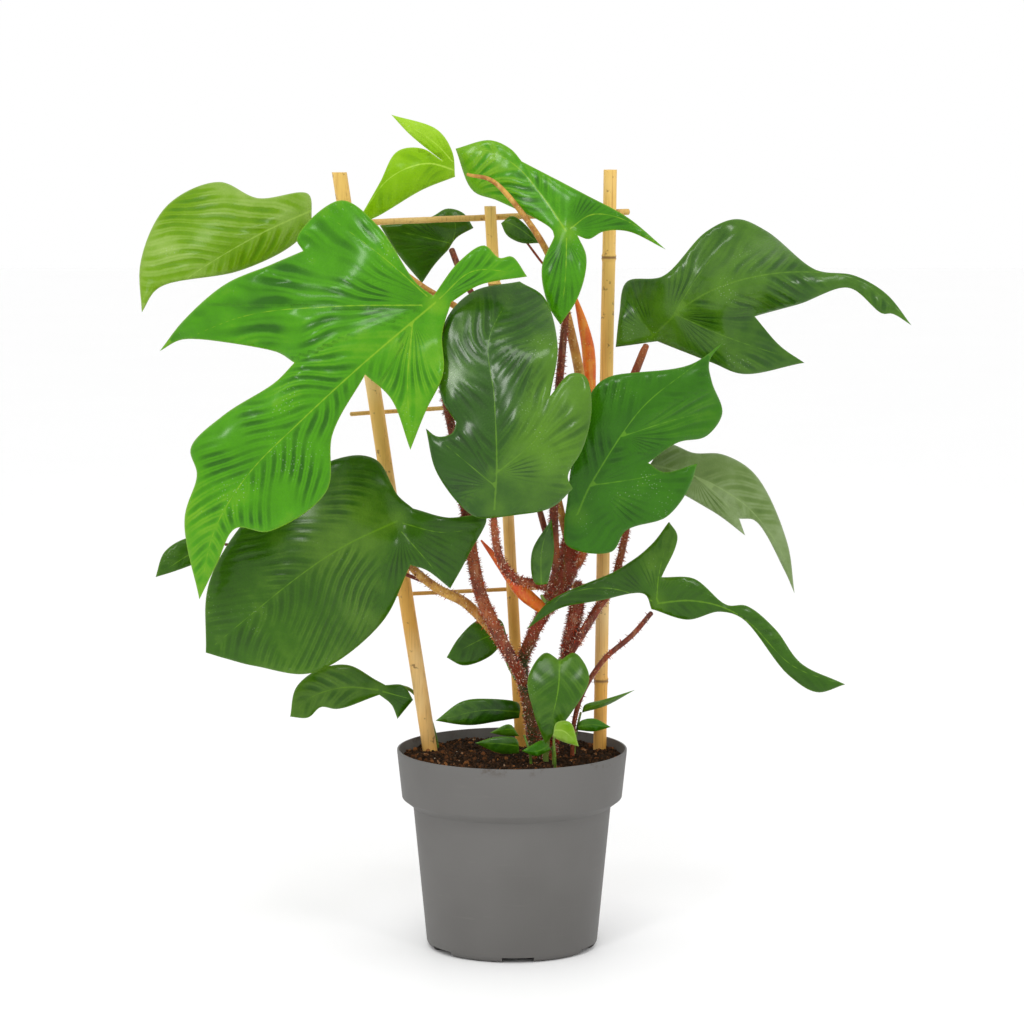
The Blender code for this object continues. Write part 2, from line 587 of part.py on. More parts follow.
def make_pot():
    underside = [(0.0, 0.0), (PAD_RADIUS, 0.0), (PAD_RADIUS, FLOOR_UNDER), (FOOT_INNER, FLOOR_UNDER),
                 (FOOT_INNER, 0.0)]
    profile = underside + pot_outside() + pot_inside() + [(0.0, FLOOR_TOP)]
    pot = add_object("pot", finish_mesh(turned_shape(profile, POT_SIDES), "pot"), "pot_grey")
    spots = []
    for i in range(DRAIN_COUNT):
        angle = math.tau * (i + 0.5) / DRAIN_COUNT
        spots.append((DRAIN_CIRCLE * math.cos(angle), DRAIN_CIRCLE * math.sin(angle)))
    cut_with(pot, round_cutter("cutter_drains", DRAIN_RADIUS, 0.0, FLOOR_TOP + CUT_PAST, spots))
    cut_with(pot, notch_cutter())
    return pot


def soil_bump(x, y, z):
    """Lifts the top of the soil into gentle lumps."""
    if z < SOIL_TOP:
        return 0.0
    return SOIL_BUMP * noise.noise(Vector((x, y, SOIL_SEED)) * SOIL_BUMP_SCALE)


def make_soil():
    """A plug of soil that fills the pot to just under the rim."""
    inside = [point for point in pot_inside(GAP) if point[1] < SOIL_TOP]
    slope = (RIM_RADIUS - COLLAR_RADIUS) / (POT_HEIGHT - COLLAR_BOTTOM - COLLAR_RISE)
    top_radius = RIM_RADIUS - WALL - GAP - slope * (POT_HEIGHT - SOIL_TOP + SOIL_EDGE)
    top = [(top_radius * k / SOIL_RINGS, SOIL_TOP) for k in range(SOIL_RINGS, -1, -1)]
    profile = [(0.0, inside[-1][1])] + list(reversed(inside)) + [(top_radius, SOIL_TOP - SOIL_EDGE)] + top
    soil = add_object("soil", finish_mesh(turned_shape(profile, SOIL_SIDES, soil_bump), "soil"), "soil_dark")
    for name in CANES:
        cut_with(soil, cane_solid("cutter_hole_" + name, name, CANE_MARGIN))
    for name in ROOTED:
        x, y, z = STEMS[name]["route"][0]
        width = STEMS[name]["radius"][0] + HOLE_MARGIN
        peg = round_cutter("cutter_hole_" + name, width, z - HOLE_DEPTH, SOIL_TOP + CUT_PAST, [(x, y)])
        cut_with(soil, peg)
    return soil


def cane_point(name, height):
    """The centre of a cane at a height."""
    foot = Vector(CANES[name]["foot"])
    top = Vector(CANES[name]["top"])
    return foot.lerp(top, (height - foot.z) / (top.z - foot.z))


def cane_solid(object_name, name, clearance=0.0):
    """A straight cane with a low ring at each node; with a clearance it is the cutter of its hole."""
    spec = CANES[name]
    low = spec["foot"][2] - clearance
    stations = [(low, 0.0), (spec["top"][2], 0.0)]
    for height in spec["nodes"]:
        if height > low + RING_CLEAR:
            stations += [(height - RING_BELOW, 0.0), (height - RING_HALF, RING_SWELL),
                         (height + RING_HALF, RING_SWELL), (height + RING_ABOVE, 0.0)]
    stations.sort()
    shape = bmesh.new()
    rings = []
    for height, swell in stations:
        centre = cane_point(name, height)
        radius = spec["radius"] + swell + clearance
        ring = []
        for i in range(CANE_SIDES):
            angle = math.tau * i / CANE_SIDES
            offset = Vector((radius * math.cos(angle), radius * math.sin(angle), 0.0))
            ring.append(shape.verts.new((centre + offset) * MM))
        rings.append(ring)
    for ring, above in zip(rings, rings[1:]):
        for i in range(CANE_SIDES):
            j = (i + 1) % CANE_SIDES
            shape.faces.new([ring[i], ring[j], above[j], above[i]])
    shape.faces.new(rings[0])
    shape.faces.new(rings[-1])
    return add_object(object_name, finish_mesh(shape, object_name), "bamboo_tan")


def make_rung(name):
    """A thin rod that lies against the back of the canes."""
    spec = RUNGS[name]
    back = 0.0
    for cane in CANES:
        behind = cane_point(cane, spec["left"][1]).y + CANES[cane]["radius"]
        back = max(back, behind)
    depth = back + spec["radius"] + RUNG_GAP
    ends = [(spec["left"][0], depth, spec["left"][1]), (spec["right"][0], depth, spec["right"][1])]
    return make_tube(name, ends, [spec["radius"]] * 2, "rung_tan")


def smooth_route(points, step):
    """Points at an even step along a smooth curve through the given ones (Catmull-Rom)."""
    points = [np.array(point, dtype=float) for point in points]
    padded = [2 * points[0] - points[1]] + points + [2 * points[-1] - points[-2]]
    fine = []
    for before, start, end, after in zip(padded, padded[1:], padded[2:], padded[3:]):
        count = max(2, int(np.linalg.norm((end - start)[:3]) / step))
        for i in range(count):
            t = i / count
            fine.append(0.5 * (2 * start + (end - before) * t
                               + (2 * before - 5 * start + 4 * end - after) * t ** 2
                               + (3 * start - before - 3 * end + after) * t ** 3))
    fine.append(points[-1])
    return fine


def make_tube(name, points, radii, material_name):
    """A round stem along a route; the radius runs smoothly through the given values."""
    route = smooth_route([(*point, radius) for point, radius in zip(points, radii)], TUBE_STEP)
    curve = bpy.data.curves.new(name, "CURVE")
    curve.dimensions = "3D"
    curve.bevel_depth = MM
    curve.bevel_resolution = TUBE_ROUNDNESS
    curve.use_fill_caps = True
    spline = curve.splines.new("POLY")
    spline.points.add(len(route) - 1)
    for point, spot in zip(spline.points, route):
        point.co = (spot[0] * MM, spot[1] * MM, spot[2] * MM, 1.0)
        point.radius = spot[3]
    spline.use_smooth = True
    return add_object(name, curve, material_name)


def make_stem(name):
    return make_tube(name, STEMS[name]["route"], STEMS[name]["radius"], STEMS[name]["colour"])


def spline_through(points):
    """A smooth line through the points of one stretch of margin, corners left at its two ends."""
    if len(points) == 2:
        return [np.array(points[0], dtype=float), np.array(points[1], dtype=float)]
    points = [np.array(point, dtype=float) for point in points]
    padded = [2 * points[0] - points[1]] + points + [2 * points[-1] - points[-2]]
    line = []
    for before, start, end, after in zip(padded, padded[1:], padded[2:], padded[3:]):
        knots = [0.0]
        for a, b in ((before, start), (start, end), (end, after)):
            knots.append(knots[-1] + max(math.sqrt(np.linalg.norm(b - a)), 0.1))
        for i in range(SPLINE_SAMPLES):
            t = knots[1] + (knots[2] - knots[1]) * i / SPLINE_SAMPLES
            first = blend(before, start, knots[0], knots[1], t)
            second = blend(start, end, knots[1], knots[2], t)
            third = blend(end, after, knots[2], knots[3], t)
            low = blend(first, second, knots[0], knots[2], t)
            high = blend(second, third, knots[1], knots[3], t)
            line.append(blend(low, high, knots[1], knots[2], t))
    line.append(points[-1])
    return line


def blend(a, b, low, high, t):
    return a * (high - t) / (high - low) + b * (t - low) / (high - low)


def even_steps(line, step):
    """The line resampled at about the given step, both ends kept."""
    line = np.array(line)
    lengths = np.concatenate(([0.0], np.cumsum(np.linalg.norm(np.diff(line, axis=0), axis=1))))
    count = max(1, round(lengths[-1] / step))
    spots = np.linspace(0.0, lengths[-1], count + 1)
    return np.column_stack([np.interp(spots, lengths, line[:, k]) for k in range(2)])


def leaf_outline(margin, step):
    """The closed outline of a blade in the front elevation."""
    corner = margin[-1][-1]
    outline = []
    for stretch in margin:
        line = even_steps(spline_through([corner] + stretch), step)
        outline.extend(line[:-1])
        corner = stretch[-1]
    return np.array(outline)


def vein_steps(vein):
    """One vein from its start to its tip, as many small steps."""
    return np.array(smooth_route(vein, VEIN_STEP))


def recede(x, z, veins, fold):
    """The depth that a point of the margin takes from its nearest vein, and its distance to that vein."""
    best = None
    for line in veins:
        gaps = np.hypot(line[:, 0] - x, line[:, 2] - z)
        near = int(np.argmin(gaps))
        if best is None or gaps[near] < best[1]:
            last = min(near + 1, len(line) - 1)
            along = line[last] - line[max(last - 2, 0)]
            left = along[0] * (z - line[near, 2]) - along[2] * (x - line[near, 0]) > 0
            best = (line[near, 1] + gaps[near] * fold[0 if left else 1], gaps[near])
    return best


def depth_surface(spec):
    """A smooth depth for any (x, z) of a blade: a thin plate through its veins and its folded margin."""
    veins = [vein_steps(vein) for vein in spec["veins"]]
    spots = []
    for line in veins:
        spots += [(point[0], point[2], point[1]) for point in line[::VEIN_ANCHORS]]
    for stretch in spec["margin"]:
        for x, z in stretch:
            depth, gap = recede(x, z, veins, spec["fold"])
            if gap > ANCHOR_GAP:
                spots.append((x, z, depth))
    spots = np.array(spots)
    count = len(spots)
    system = np.zeros((count + 3, count + 3))
    apart = spots[:, None, :2] - spots[None, :, :2]
    system[:count, :count] = plate_kernel(apart[..., 0], apart[..., 1]) + np.eye(count) * PLATE_SOFTNESS
    system[:count, count] = 1.0
    system[:count, count + 1:] = spots[:, :2]
    system[count:, :count] = system[:count, count:].T
    weights = np.linalg.solve(system, np.concatenate((spots[:, 2], np.zeros(3))))

    def depth_at(x, z):
        bend = plate_kernel(spots[:, 0] - x, spots[:, 1] - z) @ weights[:count]
        return bend + weights[count] + weights[count + 1] * x + weights[count + 2] * z
    return depth_at


def plate_kernel(dx, dz):
    """The thin plate's kernel, r squared times log r."""
    square = dx * dx + dz * dz
    return 0.5 * square * np.log(np.maximum(square, 1e-9))


def inner_points(outline, spacing):
    """Evenly staggered points inside an outline, clear of its edge."""
    points = []
    low = outline.min(axis=0)
    high = outline.max(axis=0)
    ends = np.roll(outline, -1, axis=0)
    row = 0
    z = low[1] + spacing / 2
    while z < high[1]:
        x = low[0] + spacing * ROW_SHIFT[row % 2]
        while x < high[0]:
            crossing = (outline[:, 1] > z) != (ends[:, 1] > z)
            rise = np.where(crossing, ends[:, 1] - outline[:, 1], 1.0)
            at = outline[:, 0] + (z - outline[:, 1]) * (ends[:, 0] - outline[:, 0]) / rise
            inside = np.count_nonzero(crossing & (at > x)) % 2 == 1
            if inside and np.hypot(outline[:, 0] - x, outline[:, 1] - z).min() > EDGE_CLEAR * spacing:
                points.append((x, z))
            x += spacing
        z += spacing * ROW_RISE
        row += 1
    return points


def make_leaf(name):
    """A thin closed blade: its outline filled, bent to its depth, and given a thickness."""
    spec = LEAVES[name]
    outline = leaf_outline(spec["margin"], LEAF_EDGE_STEP)
    corners = [Vector(point) for point in outline]
    flat = corners + [Vector(point) for point in inner_points(outline, LEAF_GRID)]
    filled = geometry.delaunay_2d_cdt(flat, [], [list(range(len(corners)))], 1, 1e-5)
    depth_at = depth_surface(spec)
    shape = bmesh.new()
    front = []
    back = []
    for x, z in filled[0]:
        depth = float(depth_at(x, z))
        front.append(shape.verts.new(millimetres((x, depth, z))))
        back.append(shape.verts.new(millimetres((x, depth + LEAF_THICKNESS, z))))
    sides = {}
    for face in filled[2]:
        shape.faces.new([front[i] for i in face])
        shape.faces.new([back[i] for i in reversed(face)])
        for a, b in zip(face, list(face[1:]) + [face[0]]):
            if sides.pop((b, a), None) is None:
                sides[(a, b)] = True
    for a, b in sides:
        shape.faces.new([front[b], front[a], back[a], back[b]])
    return add_object(name, finish_mesh(shape, name, LEAF_CREASE), spec["colour"], millimetres(spec["at"]))


def main():
    clear_scene()
    make_pot()
    make_soil()
    for name in CANES:
        cane_solid(name, name)
    for name in RUNGS:
        make_rung(name)
    for name in STEMS:
        make_stem(name)
    for name in LEAVES:
        make_leaf(name)


main()
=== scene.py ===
# a lobed climbing philodendron in a grey nursery pot with a bamboo trellis
import math

import bpy
import bmesh
import numpy as np
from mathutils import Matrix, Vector, geometry, noise


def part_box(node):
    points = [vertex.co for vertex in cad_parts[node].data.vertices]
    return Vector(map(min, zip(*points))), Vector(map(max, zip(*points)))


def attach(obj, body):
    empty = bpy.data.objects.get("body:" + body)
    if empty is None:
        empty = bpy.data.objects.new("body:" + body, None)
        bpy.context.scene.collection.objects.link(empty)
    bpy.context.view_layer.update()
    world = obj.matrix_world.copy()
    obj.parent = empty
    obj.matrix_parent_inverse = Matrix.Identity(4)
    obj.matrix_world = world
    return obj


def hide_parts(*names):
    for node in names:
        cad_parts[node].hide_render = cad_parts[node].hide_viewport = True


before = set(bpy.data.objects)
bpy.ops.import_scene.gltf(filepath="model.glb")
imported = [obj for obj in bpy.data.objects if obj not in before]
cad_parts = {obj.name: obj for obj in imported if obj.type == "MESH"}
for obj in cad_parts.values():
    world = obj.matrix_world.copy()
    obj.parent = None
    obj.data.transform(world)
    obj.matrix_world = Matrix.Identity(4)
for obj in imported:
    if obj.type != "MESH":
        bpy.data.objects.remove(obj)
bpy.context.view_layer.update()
mm = 0.001


class Wire:
    # one node socket, so that node maths reads like plain sums

    def __init__(self, tree, socket):
        self.tree = tree
        self.socket = socket

    def run(self, operation, *values):
        node = self.tree.nodes.new("ShaderNodeMath")
        node.operation = operation
        for entry, value in zip(node.inputs, values):
            feed(self.tree, entry, value)
        return Wire(self.tree, node.outputs[0])

    def __add__(self, other):
        return self.run("ADD", self, other)

    def __radd__(self, other):
        return self.run("ADD", other, self)

    def __sub__(self, other):
        return self.run("SUBTRACT", self, other)

    def __rsub__(self, other):
        return self.run("SUBTRACT", other, self)

    def __mul__(self, other):
        return self.run("MULTIPLY", self, other)

    def __rmul__(self, other):
        return self.run("MULTIPLY", other, self)

    def __truediv__(self, other):
        return self.run("DIVIDE", self, other)

    def __rtruediv__(self, other):
        return self.run("DIVIDE", other, self)

    def __pow__(self, other):
        return self.run("POWER", self, other)

    def fract(self):
        return self.run("FRACT", self)

    def wave(self):
        # cosine of this many whole turns
        return self.run("COSINE", self * math.tau)

    def size(self):
        return self.run("ABSOLUTE", self)

    def most(self, other):
        return self.run("MAXIMUM", self, other)

    def ramp(self, low, high, start=0.0, end=1.0):
        # a soft step from start to end as the value goes from low to high
        node = self.tree.nodes.new("ShaderNodeMapRange")
        node.interpolation_type = "SMOOTHSTEP"
        for entry, value in zip(node.inputs, (self, low, high, start, end)):
            feed(self.tree, entry, value)
        return Wire(self.tree, node.outputs[0])


def feed(tree, entry, value):
    if isinstance(value, Wire):
        tree.links.new(value.socket, entry)
    elif hasattr(entry.default_value, "__len__") and len(entry.default_value) == 4 and len(value) == 3:
        entry.default_value = (*value, 1.0)
    else:
        entry.default_value = value


class Nodes:
    # makes nodes in one tree: a type, its settings, the values or links of its sockets

    def __init__(self, tree):
        self.tree = tree

    def add(self, kind, settings=None, sockets=None, out=0):
        node = self.tree.nodes.new(kind)
        for key, value in (settings or {}).items():
            if key == "stops":
                stops = node.color_ramp.elements
                while len(stops) < len(value):
                    stops.new(0.5)
                for stop, (place, colour) in zip(stops, value):
                    stop.position = place
                    stop.color = (*colour, 1.0)
            else:
                setattr(node, key, value)
        for key, value in (sockets or {}).items():
            feed(self.tree, node.inputs[key], value)
        return Wire(self.tree, node.outputs[out])

    def blend(self, factor, first, second):
        # mixes two colours, which are sockets 6 and 7 of the node, with the result on socket 2
        settings = {"data_type": "RGBA", "clamp_result": False}
        return self.add("ShaderNodeMix", settings, {0: factor, 6: first, 7: second}, 2)


class Finish(Nodes):
    # one material: the shader's own sockets are set by name, patterns are linked

    def __init__(self, name):
        self.material = bpy.data.materials.new(name)
        self.material.use_nodes = True
        super().__init__(self.material.node_tree)
        self.shader = self.tree.nodes["Principled BSDF"]

    def place(self, stretch=(1.0, 1.0, 1.0)):
        spot = self.add("ShaderNodeTexCoord", out="Object")
        return self.add("ShaderNodeMapping", {}, {"Vector": spot, "Scale": stretch})

    def above(self, spot):
        # the height of a place, in metres
        return self.add("ShaderNodeSeparateXYZ", {}, {0: spot}, 2)

    def clouds(self, vector, scale, detail=3.0, rough=0.5):
        sockets = {"Vector": vector, "Scale": scale, "Detail": detail, "Roughness": rough}
        return self.add("ShaderNodeTexNoise", {}, sockets)

    def cells(self, vector, scale, feature="F1"):
        return self.add("ShaderNodeTexVoronoi", {"feature": feature}, {"Vector": vector, "Scale": scale})

    def reads(self, name):
        return self.add("ShaderNodeAttribute", {"attribute_name": name}, out="Fac")

    def height(self, wire, distance, strength=1.0):
        sockets = {"Height": wire, "Distance": distance, "Strength": strength}
        self.set(Normal=self.add("ShaderNodeBump", {}, sockets))

    def set(self, **values):
        for key, value in values.items():
            feed(self.tree, self.shader.inputs[key.replace("_", " ")], value)
        return self.material


stageLook = {
    "cameraAt": (0.0, -3.0, 0.73),
    "lookAt": (0.0, 0.0, 0.3615),
    "lens": 129.5,
    "sensor": 36.0,
    "floorColour": (0.995, 0.995, 0.995),
    "floorGrain": 0.995,
    "worldLight": 1.0,
    # each soft box: place, aimed at, size across, watts
    "lights": [
        ((-0.9, -2.0, 1.7), (0.0, 0.0, 0.42), 0.35, 8.0),
        ((1.1, -1.9, 1.75), (0.0, 0.0, 0.40), 0.30, 5.0),
        ((-0.15, -1.3, 1.9), (0.0, 0.0, 0.45), 0.50, 5.5),
    ],
}


def aimed(item, place, target):
    item.location = place
    item.rotation_euler = (Vector(target) - Vector(place)).to_track_quat("-Z", "Y").to_euler()
    bpy.context.scene.collection.objects.link(item)


def makeStage(look):
    scene = bpy.context.scene
    scene.view_settings.view_transform = "Standard"          # keeps the greens vivid and the room white
    camera = bpy.data.objects.new("camera", bpy.data.cameras.new("camera"))
    camera.data.lens = look["lens"]
    camera.data.sensor_width = look["sensor"]
    aimed(camera, look["cameraAt"], look["lookAt"])
    scene.camera = camera
    for index, (place, target, across, watts) in enumerate(look["lights"]):
        lamp = bpy.data.objects.new("softBox%d" % index, bpy.data.lights.new("softBox%d" % index, "AREA"))
        lamp.data.energy = watts
        lamp.data.size = across
        aimed(lamp, place, target)
    world = bpy.data.worlds.new("paleRoom")
    world.use_nodes = True
    world.node_tree.nodes["Background"].inputs[0].default_value = (1.0, 1.0, 1.0, 1.0)
    world.node_tree.nodes["Background"].inputs[1].default_value = look["worldLight"]
    scene.world = world

    mesh = bpy.data.meshes.new("floor")
    mesh.from_pydata([(-8, -6, 0), (8, -6, 0), (8, 10, 0), (-8, 10, 0)], [], [(0, 1, 2, 3)])
    floor = bpy.data.objects.new("floor", mesh)
    scene.collection.objects.link(floor)
    finish = Finish("paleFloor")
    grain = finish.clouds(finish.place(), 3.0)
    darker = [channel * look["floorGrain"] for channel in look["floorColour"]]
    tone = finish.blend(grain.ramp(0.3, 0.7), look["floorColour"], darker)
    floor.data.materials.append(finish.set(Base_Color=tone, Roughness=0.6, Specular_IOR_Level=0.2))
    print("stage: lights", len(look["lights"]))


# Each blade, in mm. "at" is where its stalk meets it, and the other places are from there. "veins" are the
# midrib and then the main vein of each lobe, as (x, y, z). "margin" is the outline in the front elevation
# (x, z), as smooth stretches that each end in a point or a notch. "fold" is how far the blade goes back per mm
# from its nearest vein, left and right of it. "tones" is painted light and shade: how light each vein's lobe
# is painted, from 0 to 1, standing in for how the light falls on that lobe.
leafShapes = {
    "leaf_big_left": {
        "slot": "leaf_mature", "look": "bright", "at": (-60, -95, 540),
        "tones": (0.46, 0.35, 0.36, 0.46, 0.4), "fold": (0.12, 0.14),
        "veins": [
            [(0, 0, 0), (-55, -28, -45), (-105, -48, -90), (-145, -60, -130), (-172, -62, -175),
             (-185, -50, -230)],
            [(-10, -5, -2), (-80, -22, -2), (-150, -15, -10), (-220, 15, -40)],
            [(-6, -2, 4), (-40, -12, 35), (-85, 5, 68)],
            [(-18, -8, -14), (-22, -18, -60), (-20, -22, -115)],
            [(2, 0, 2), (30, -8, 25), (70, 2, 22)],
        ],
        "margin": [
            [(-15, 15), (-45, 60), (-75, 80), (-110, 50), (-105, 40)],
            [(-130, 30), (-165, 15), (-200, -15), (-220, -40)],
            [(-200, -30), (-125, -38), (-110, -45)],
            [(-125, -60), (-165, -85), (-190, -110), (-185, -130), (-195, -165), (-185, -230)],
            [(-170, -200), (-155, -172), (-130, -175), (-85, -145), (-80, -100), (-55, -55)],
            [(-35, -75), (-20, -115)],
            [(-8, -85), (6, -55), (5, -25), (12, 0)],
            [(35, 14), (72, 20)],
            [(60, 36), (50, 35), (38, 45), (18, 32), (-2, 5)],
        ]},
    "leaf_centre": {
        "slot": "leaf_dark", "look": "dark", "at": (-14, -112, 376),
        "tones": (0.5, 0.45, 0.75), "fold": (0.16, 0.16),
        "veins": [
            [(0, 0, 0), (2, -8, 40), (0, 2, 90), (-4, 20, 135), (20, 52, 178)],
            [(1, -5, 20), (-25, -6, 42), (-52, 4, 64)],
            [(1, -6, 30), (35, -8, 60), (66, 8, 102)],
        ],
        "margin": [
            [(-15, -5), (-45, 30), (-54, 65)],
            [(-45, 59), (-33, 62), (-30, 70)],
            [(-42, 90), (-44, 130), (-35, 155), (-15, 172), (20, 178)],
            [(40, 165), (50, 130), (44, 91)],
            [(60, 108), (72, 106), (77, 80), (70, 50), (58, 28), (62, 18)],
            [(45, 2), (5, -5)],
        ]},
    "leaf_centre_right": {
        "slot": "leaf_mature", "look": "deep", "at": (52, -62, 366),
        "tones": (0.35, 0.45, 0.55), "fold": (0.15, 0.12),
        "veins": [
            [(0, 0, 0), (14, -12, 32), (50, -18, 87), (90, -6, 119), (117, 14, 138)],
            [(12, -10, 26), (50, -14, 32), (94, 2, 40)],
            [(36, -16, 66), (75, -12, 78), (108, 6, 84)],
        ],
        "margin": [
            [(-8, 10), (-4, 45), (12, 102), (25, 113), (90, 122), (117, 138)],
            [(106, 124), (108, 108), (117, 82), (104, 64), (80, 60), (57, 44)],
            [(70, 36), (97, 42)],
            [(90, 22), (72, 0), (40, -12), (28, -30), (-8, -24), (-10, -3)],
        ]},
    "leaf_lower_left": {
        "slot": "leaf_mature", "look": "mature", "at": (-92, -45, 360),
        "tones": (0.52, 0.35, 0.3), "fold": (0.06, 0.14),
        "veins": [
            [(0, 0, 0), (-42, -26, -17), (-78, -46, -39), (-118, -60, -70), (-152, -56, -99)],
            [(3, 0, -2), (35, -12, -8), (66, -8, -5)],
            [(2, -2, -8), (22, -10, -30), (42, -6, -55)],
        ],
        "margin": [
            [(0, 20), (-18, 49), (-45, 52), (-108, 18), (-148, -40), (-152, -99)],
            [(-110, -110), (-65, -115), (-15, -85), (10, -35)],
            [(24, -40), (42, -55)],
            [(58, -25), (71, 4), (40, 4), (12, 10)],
        ]},
    "leaf_upper_right": {
        "slot": "leaf_dark", "look": "dark", "at": (113, 10, 503),
        "tones": (0.62, 0.58, 0.55, 0.5), "fold": (0.14, 0.14),
        "veins": [
            [(0, 0, 0), (32, -18, 31), (70, -38, 50), (118, -55, 58), (165, -70, 51), (204, -84, 18)],
            [(15, -9, 15), (40, -14, 55), (72, -4, 92)],
            [(2, 0, 4), (-12, 4, 22), (-16, 12, 42)],
            [(22, -12, 20), (65, -24, 2), (122, -20, -17)],
        ],
        "margin": [
            [(-28, -7)],
            [(-25, 20), (-19, 46), (10, 52), (45, 88), (70, 98), (95, 88), (130, 60), (160, 56), (185, 42),
             (205, 17)],
            [(190, 26), (182, 26), (156, 46), (118, 32), (84, 20)],
            [(105, -4), (125, -18)],
            [(75, -27), (50, -18), (6, -2)],
        ]},
    "leaf_top": {
        "slot": "leaf_dark", "look": "bright", "at": (44, -25, 592),
        "tones": (0.58, 0.2, 0.3), "fold": (0.12, 0.15),
        "veins": [
            [(0, 0, 0), (-17, 12, 25), (-38, 22, 50), (-62, 30, 64), (-88, 34, 66)],
            [(2, 1, 2), (22, 6, 14), (50, 8, 8), (78, -4, -13)],
            [(0, -2, -4), (-1, -12, -35), (-5, -14, -72)],
        ],
        "margin": [
            [(-12, 2), (-55, 24), (-76, 32), (-90, 66)],
            [(-62, 73), (-45, 66), (-36, 56)],
            [(15, 30), (50, 11), (80, -14)],
            [(50, 0), (30, 0), (18, -6), (9, -3)],
            [(16, -20), (10, -50), (-5, -74)],
            [(-15, -58), (-20, -28), (-10, -4)],
        ]},
    "leaf_new_top": {
        "slot": "leaf_young", "look": "young", "at": (-42, -14, 640), "fold": (0.30, 0.30),
        "veins": [
            [(0, 0, 0), (-28, -16, 7), (-58, -26, -6), (-83, -24, -41)],
            [(-3, -1, 5), (-22, -12, 25), (-54, -8, 45)],
        ],
        "margin": [
            [(-6, 16), (-18, 34), (-55, 46)],
            [(-40, 30), (-14, 9)],
            [(-30, 19), (-50, 17), (-64, -8), (-83, -41)],
            [(-68, -36), (-30, -14), (-4, -4)],
        ]},
    "leaf_upper_left": {
        "slot": "leaf_young", "look": "fresh", "at": (-157, -10, 611), "fold": (0.40, 0.40),
        "veins": [[(0, 0, 0), (-45, -22, -20), (-93, -42, -48), (-138, -58, -81)]],
        "margin": [
            [(-8, 11), (-48, 8), (-80, 21), (-120, 3), (-140, -40), (-138, -81)],
            [(-125, -62), (-60, -49), (-18, -28), (-5, -10)],
        ]},
    "leaf_behind_rung": {
        "slot": "leaf_mature", "look": "mature", "at": (-50, 64, 577), "fold": (0.10, 0.10),
        "veins": [
            [(0, 0, 0), (-12, 2, -14), (-25, 4, -32)],
            [(-3, 0, 2), (-30, 4, 8), (-58, 6, 14)],
            [(1, 0, 3), (3, 3, 15), (0, 6, 28)],
        ],
        "margin": [
            [(4, 6), (18, 14)],
            [(10, 26), (-4, 30), (-18, 23), (-60, 16)],
            [(-45, -8), (-25, -32)],
            [(-14, -16), (-3, -4)],
        ]},
    "leaf_small_yellow": {
        "slot": "leaf_young", "look": "mature", "at": (-6, 20, 599), "fold": (0.10, 0.10),
        "veins": [[(0, 0, 0), (12, -2, -6), (28, -4, -18)]],
        "margin": [[(6, 4), (18, -4), (28, -18)], [(14, -18), (2, -12), (-3, -2)]]},
    "leaf_lower_right": {
        "slot": "leaf_mature", "look": "mature", "at": (118, -22, 289),
        "tones": (0.45, 0.5, 0.25), "fold": (0.08, 0.08),
        "veins": [
            [(0, 0, 0), (27, -12, 4), (53, -22, 0), (76, -32, -13), (108, -45, -44), (150, -55, -59)],
            [(0, -2, 3), (2, -4, 25), (10, 0, 62)],
            [(-3, -1, 2), (-40, -10, 14), (-75, -12, 8), (-104, -10, -18)],
        ],
        "margin": [
            [(-10, 8), (-45, 4), (-80, -3), (-106, -20)],
            [(-88, 3), (-30, 30), (-5, 48), (10, 67)],
            [(17, 55), (4, 22)],
            [(30, 22), (56, 2), (72, 2), (95, -16), (115, -42), (150, -58)],
            [(128, -65), (105, -52), (68, -8), (50, -4), (25, -12), (-4, -5)],
        ]},
    "leaf_mid_right": {
        "slot": "leaf_pale", "look": "pale", "at": (104, -25, 405), "fold": (0.25, 0.25),
        "veins": [
            [(0, 0, 0), (40, 6, -10), (72, 14, -26), (95, 20, -45), (117, 26, -76), (129, 30, -112)],
            [(45, 7, -12), (68, 12, -32), (86, 16, -58)],
        ],
        "margin": [
            [(22, 14), (44, 7), (68, 5), (95, -12), (122, -68), (129, -112)],
            [(120, -92), (95, -50), (82, -48)],
            [(87, -62)],
            [(65, -45), (4, -8)],
        ]},
    "leaf_small_by_stem": {
        "slot": "leaf_mature", "look": "mature", "at": (-4, 15, 262), "fold": (0.10, 0.10),
        "veins": [[(0, 0, 0), (-22, -6, -8), (-50, -12, -22)]],
        "margin": [[(-6, 8), (-24, 8), (-40, -6), (-50, -22)], [(-36, -29), (-14, -22), (0, -6)]]},
    "leaf_small_left": {
        "slot": "leaf_mature", "look": "mature", "at": (-110, 14, 211),
        "tones": (0.6, 0.3), "fold": (0.12, 0.12),
        "veins": [
            [(0, 0, 0), (-28, -10, 4), (-55, -16, -3), (-73, -20, -19)],
            [(2, 0, -1), (14, -3, -4), (26, -2, -7)],
        ],
        "margin": [
            [(-2, 8), (-25, 22), (-48, 20), (-68, 5), (-73, -19)],
            [(-58, -20), (-48, -12), (-34, -14), (0, -4)],
            [(10, -12), (15, -24)],
            [(28, -8)],
            [(20, 4), (5, 4)],
        ]},
    "leaf_heart_front": {
        "slot": "leaf_mature", "look": "mature", "at": (39, -36, 247), "fold": (0.20, 0.20),
        "veins": [[(0, 0, 0), (-2, -14, -28), (-12, -12, -70)]],
        "margin": [
            [(-12, 3), (-26, -16), (-22, -42), (-12, -70)],
            [(10, -43), (24, -16), (12, 3), (0, -3)],
        ]},
    "leaf_ground_left": {
        "slot": "leaf_dark", "look": "dark", "at": (14, 12, 192), "fold": (0.20, 0.20),
        "veins": [[(0, 0, 0), (-37, -10, 4), (-77, -20, -3)]],
        "margin": [[(-8, 8), (-30, 13), (-55, 12), (-77, -3)], [(-50, -8), (-25, -6), (-8, -4)]]},
    "leaf_ground_small": {
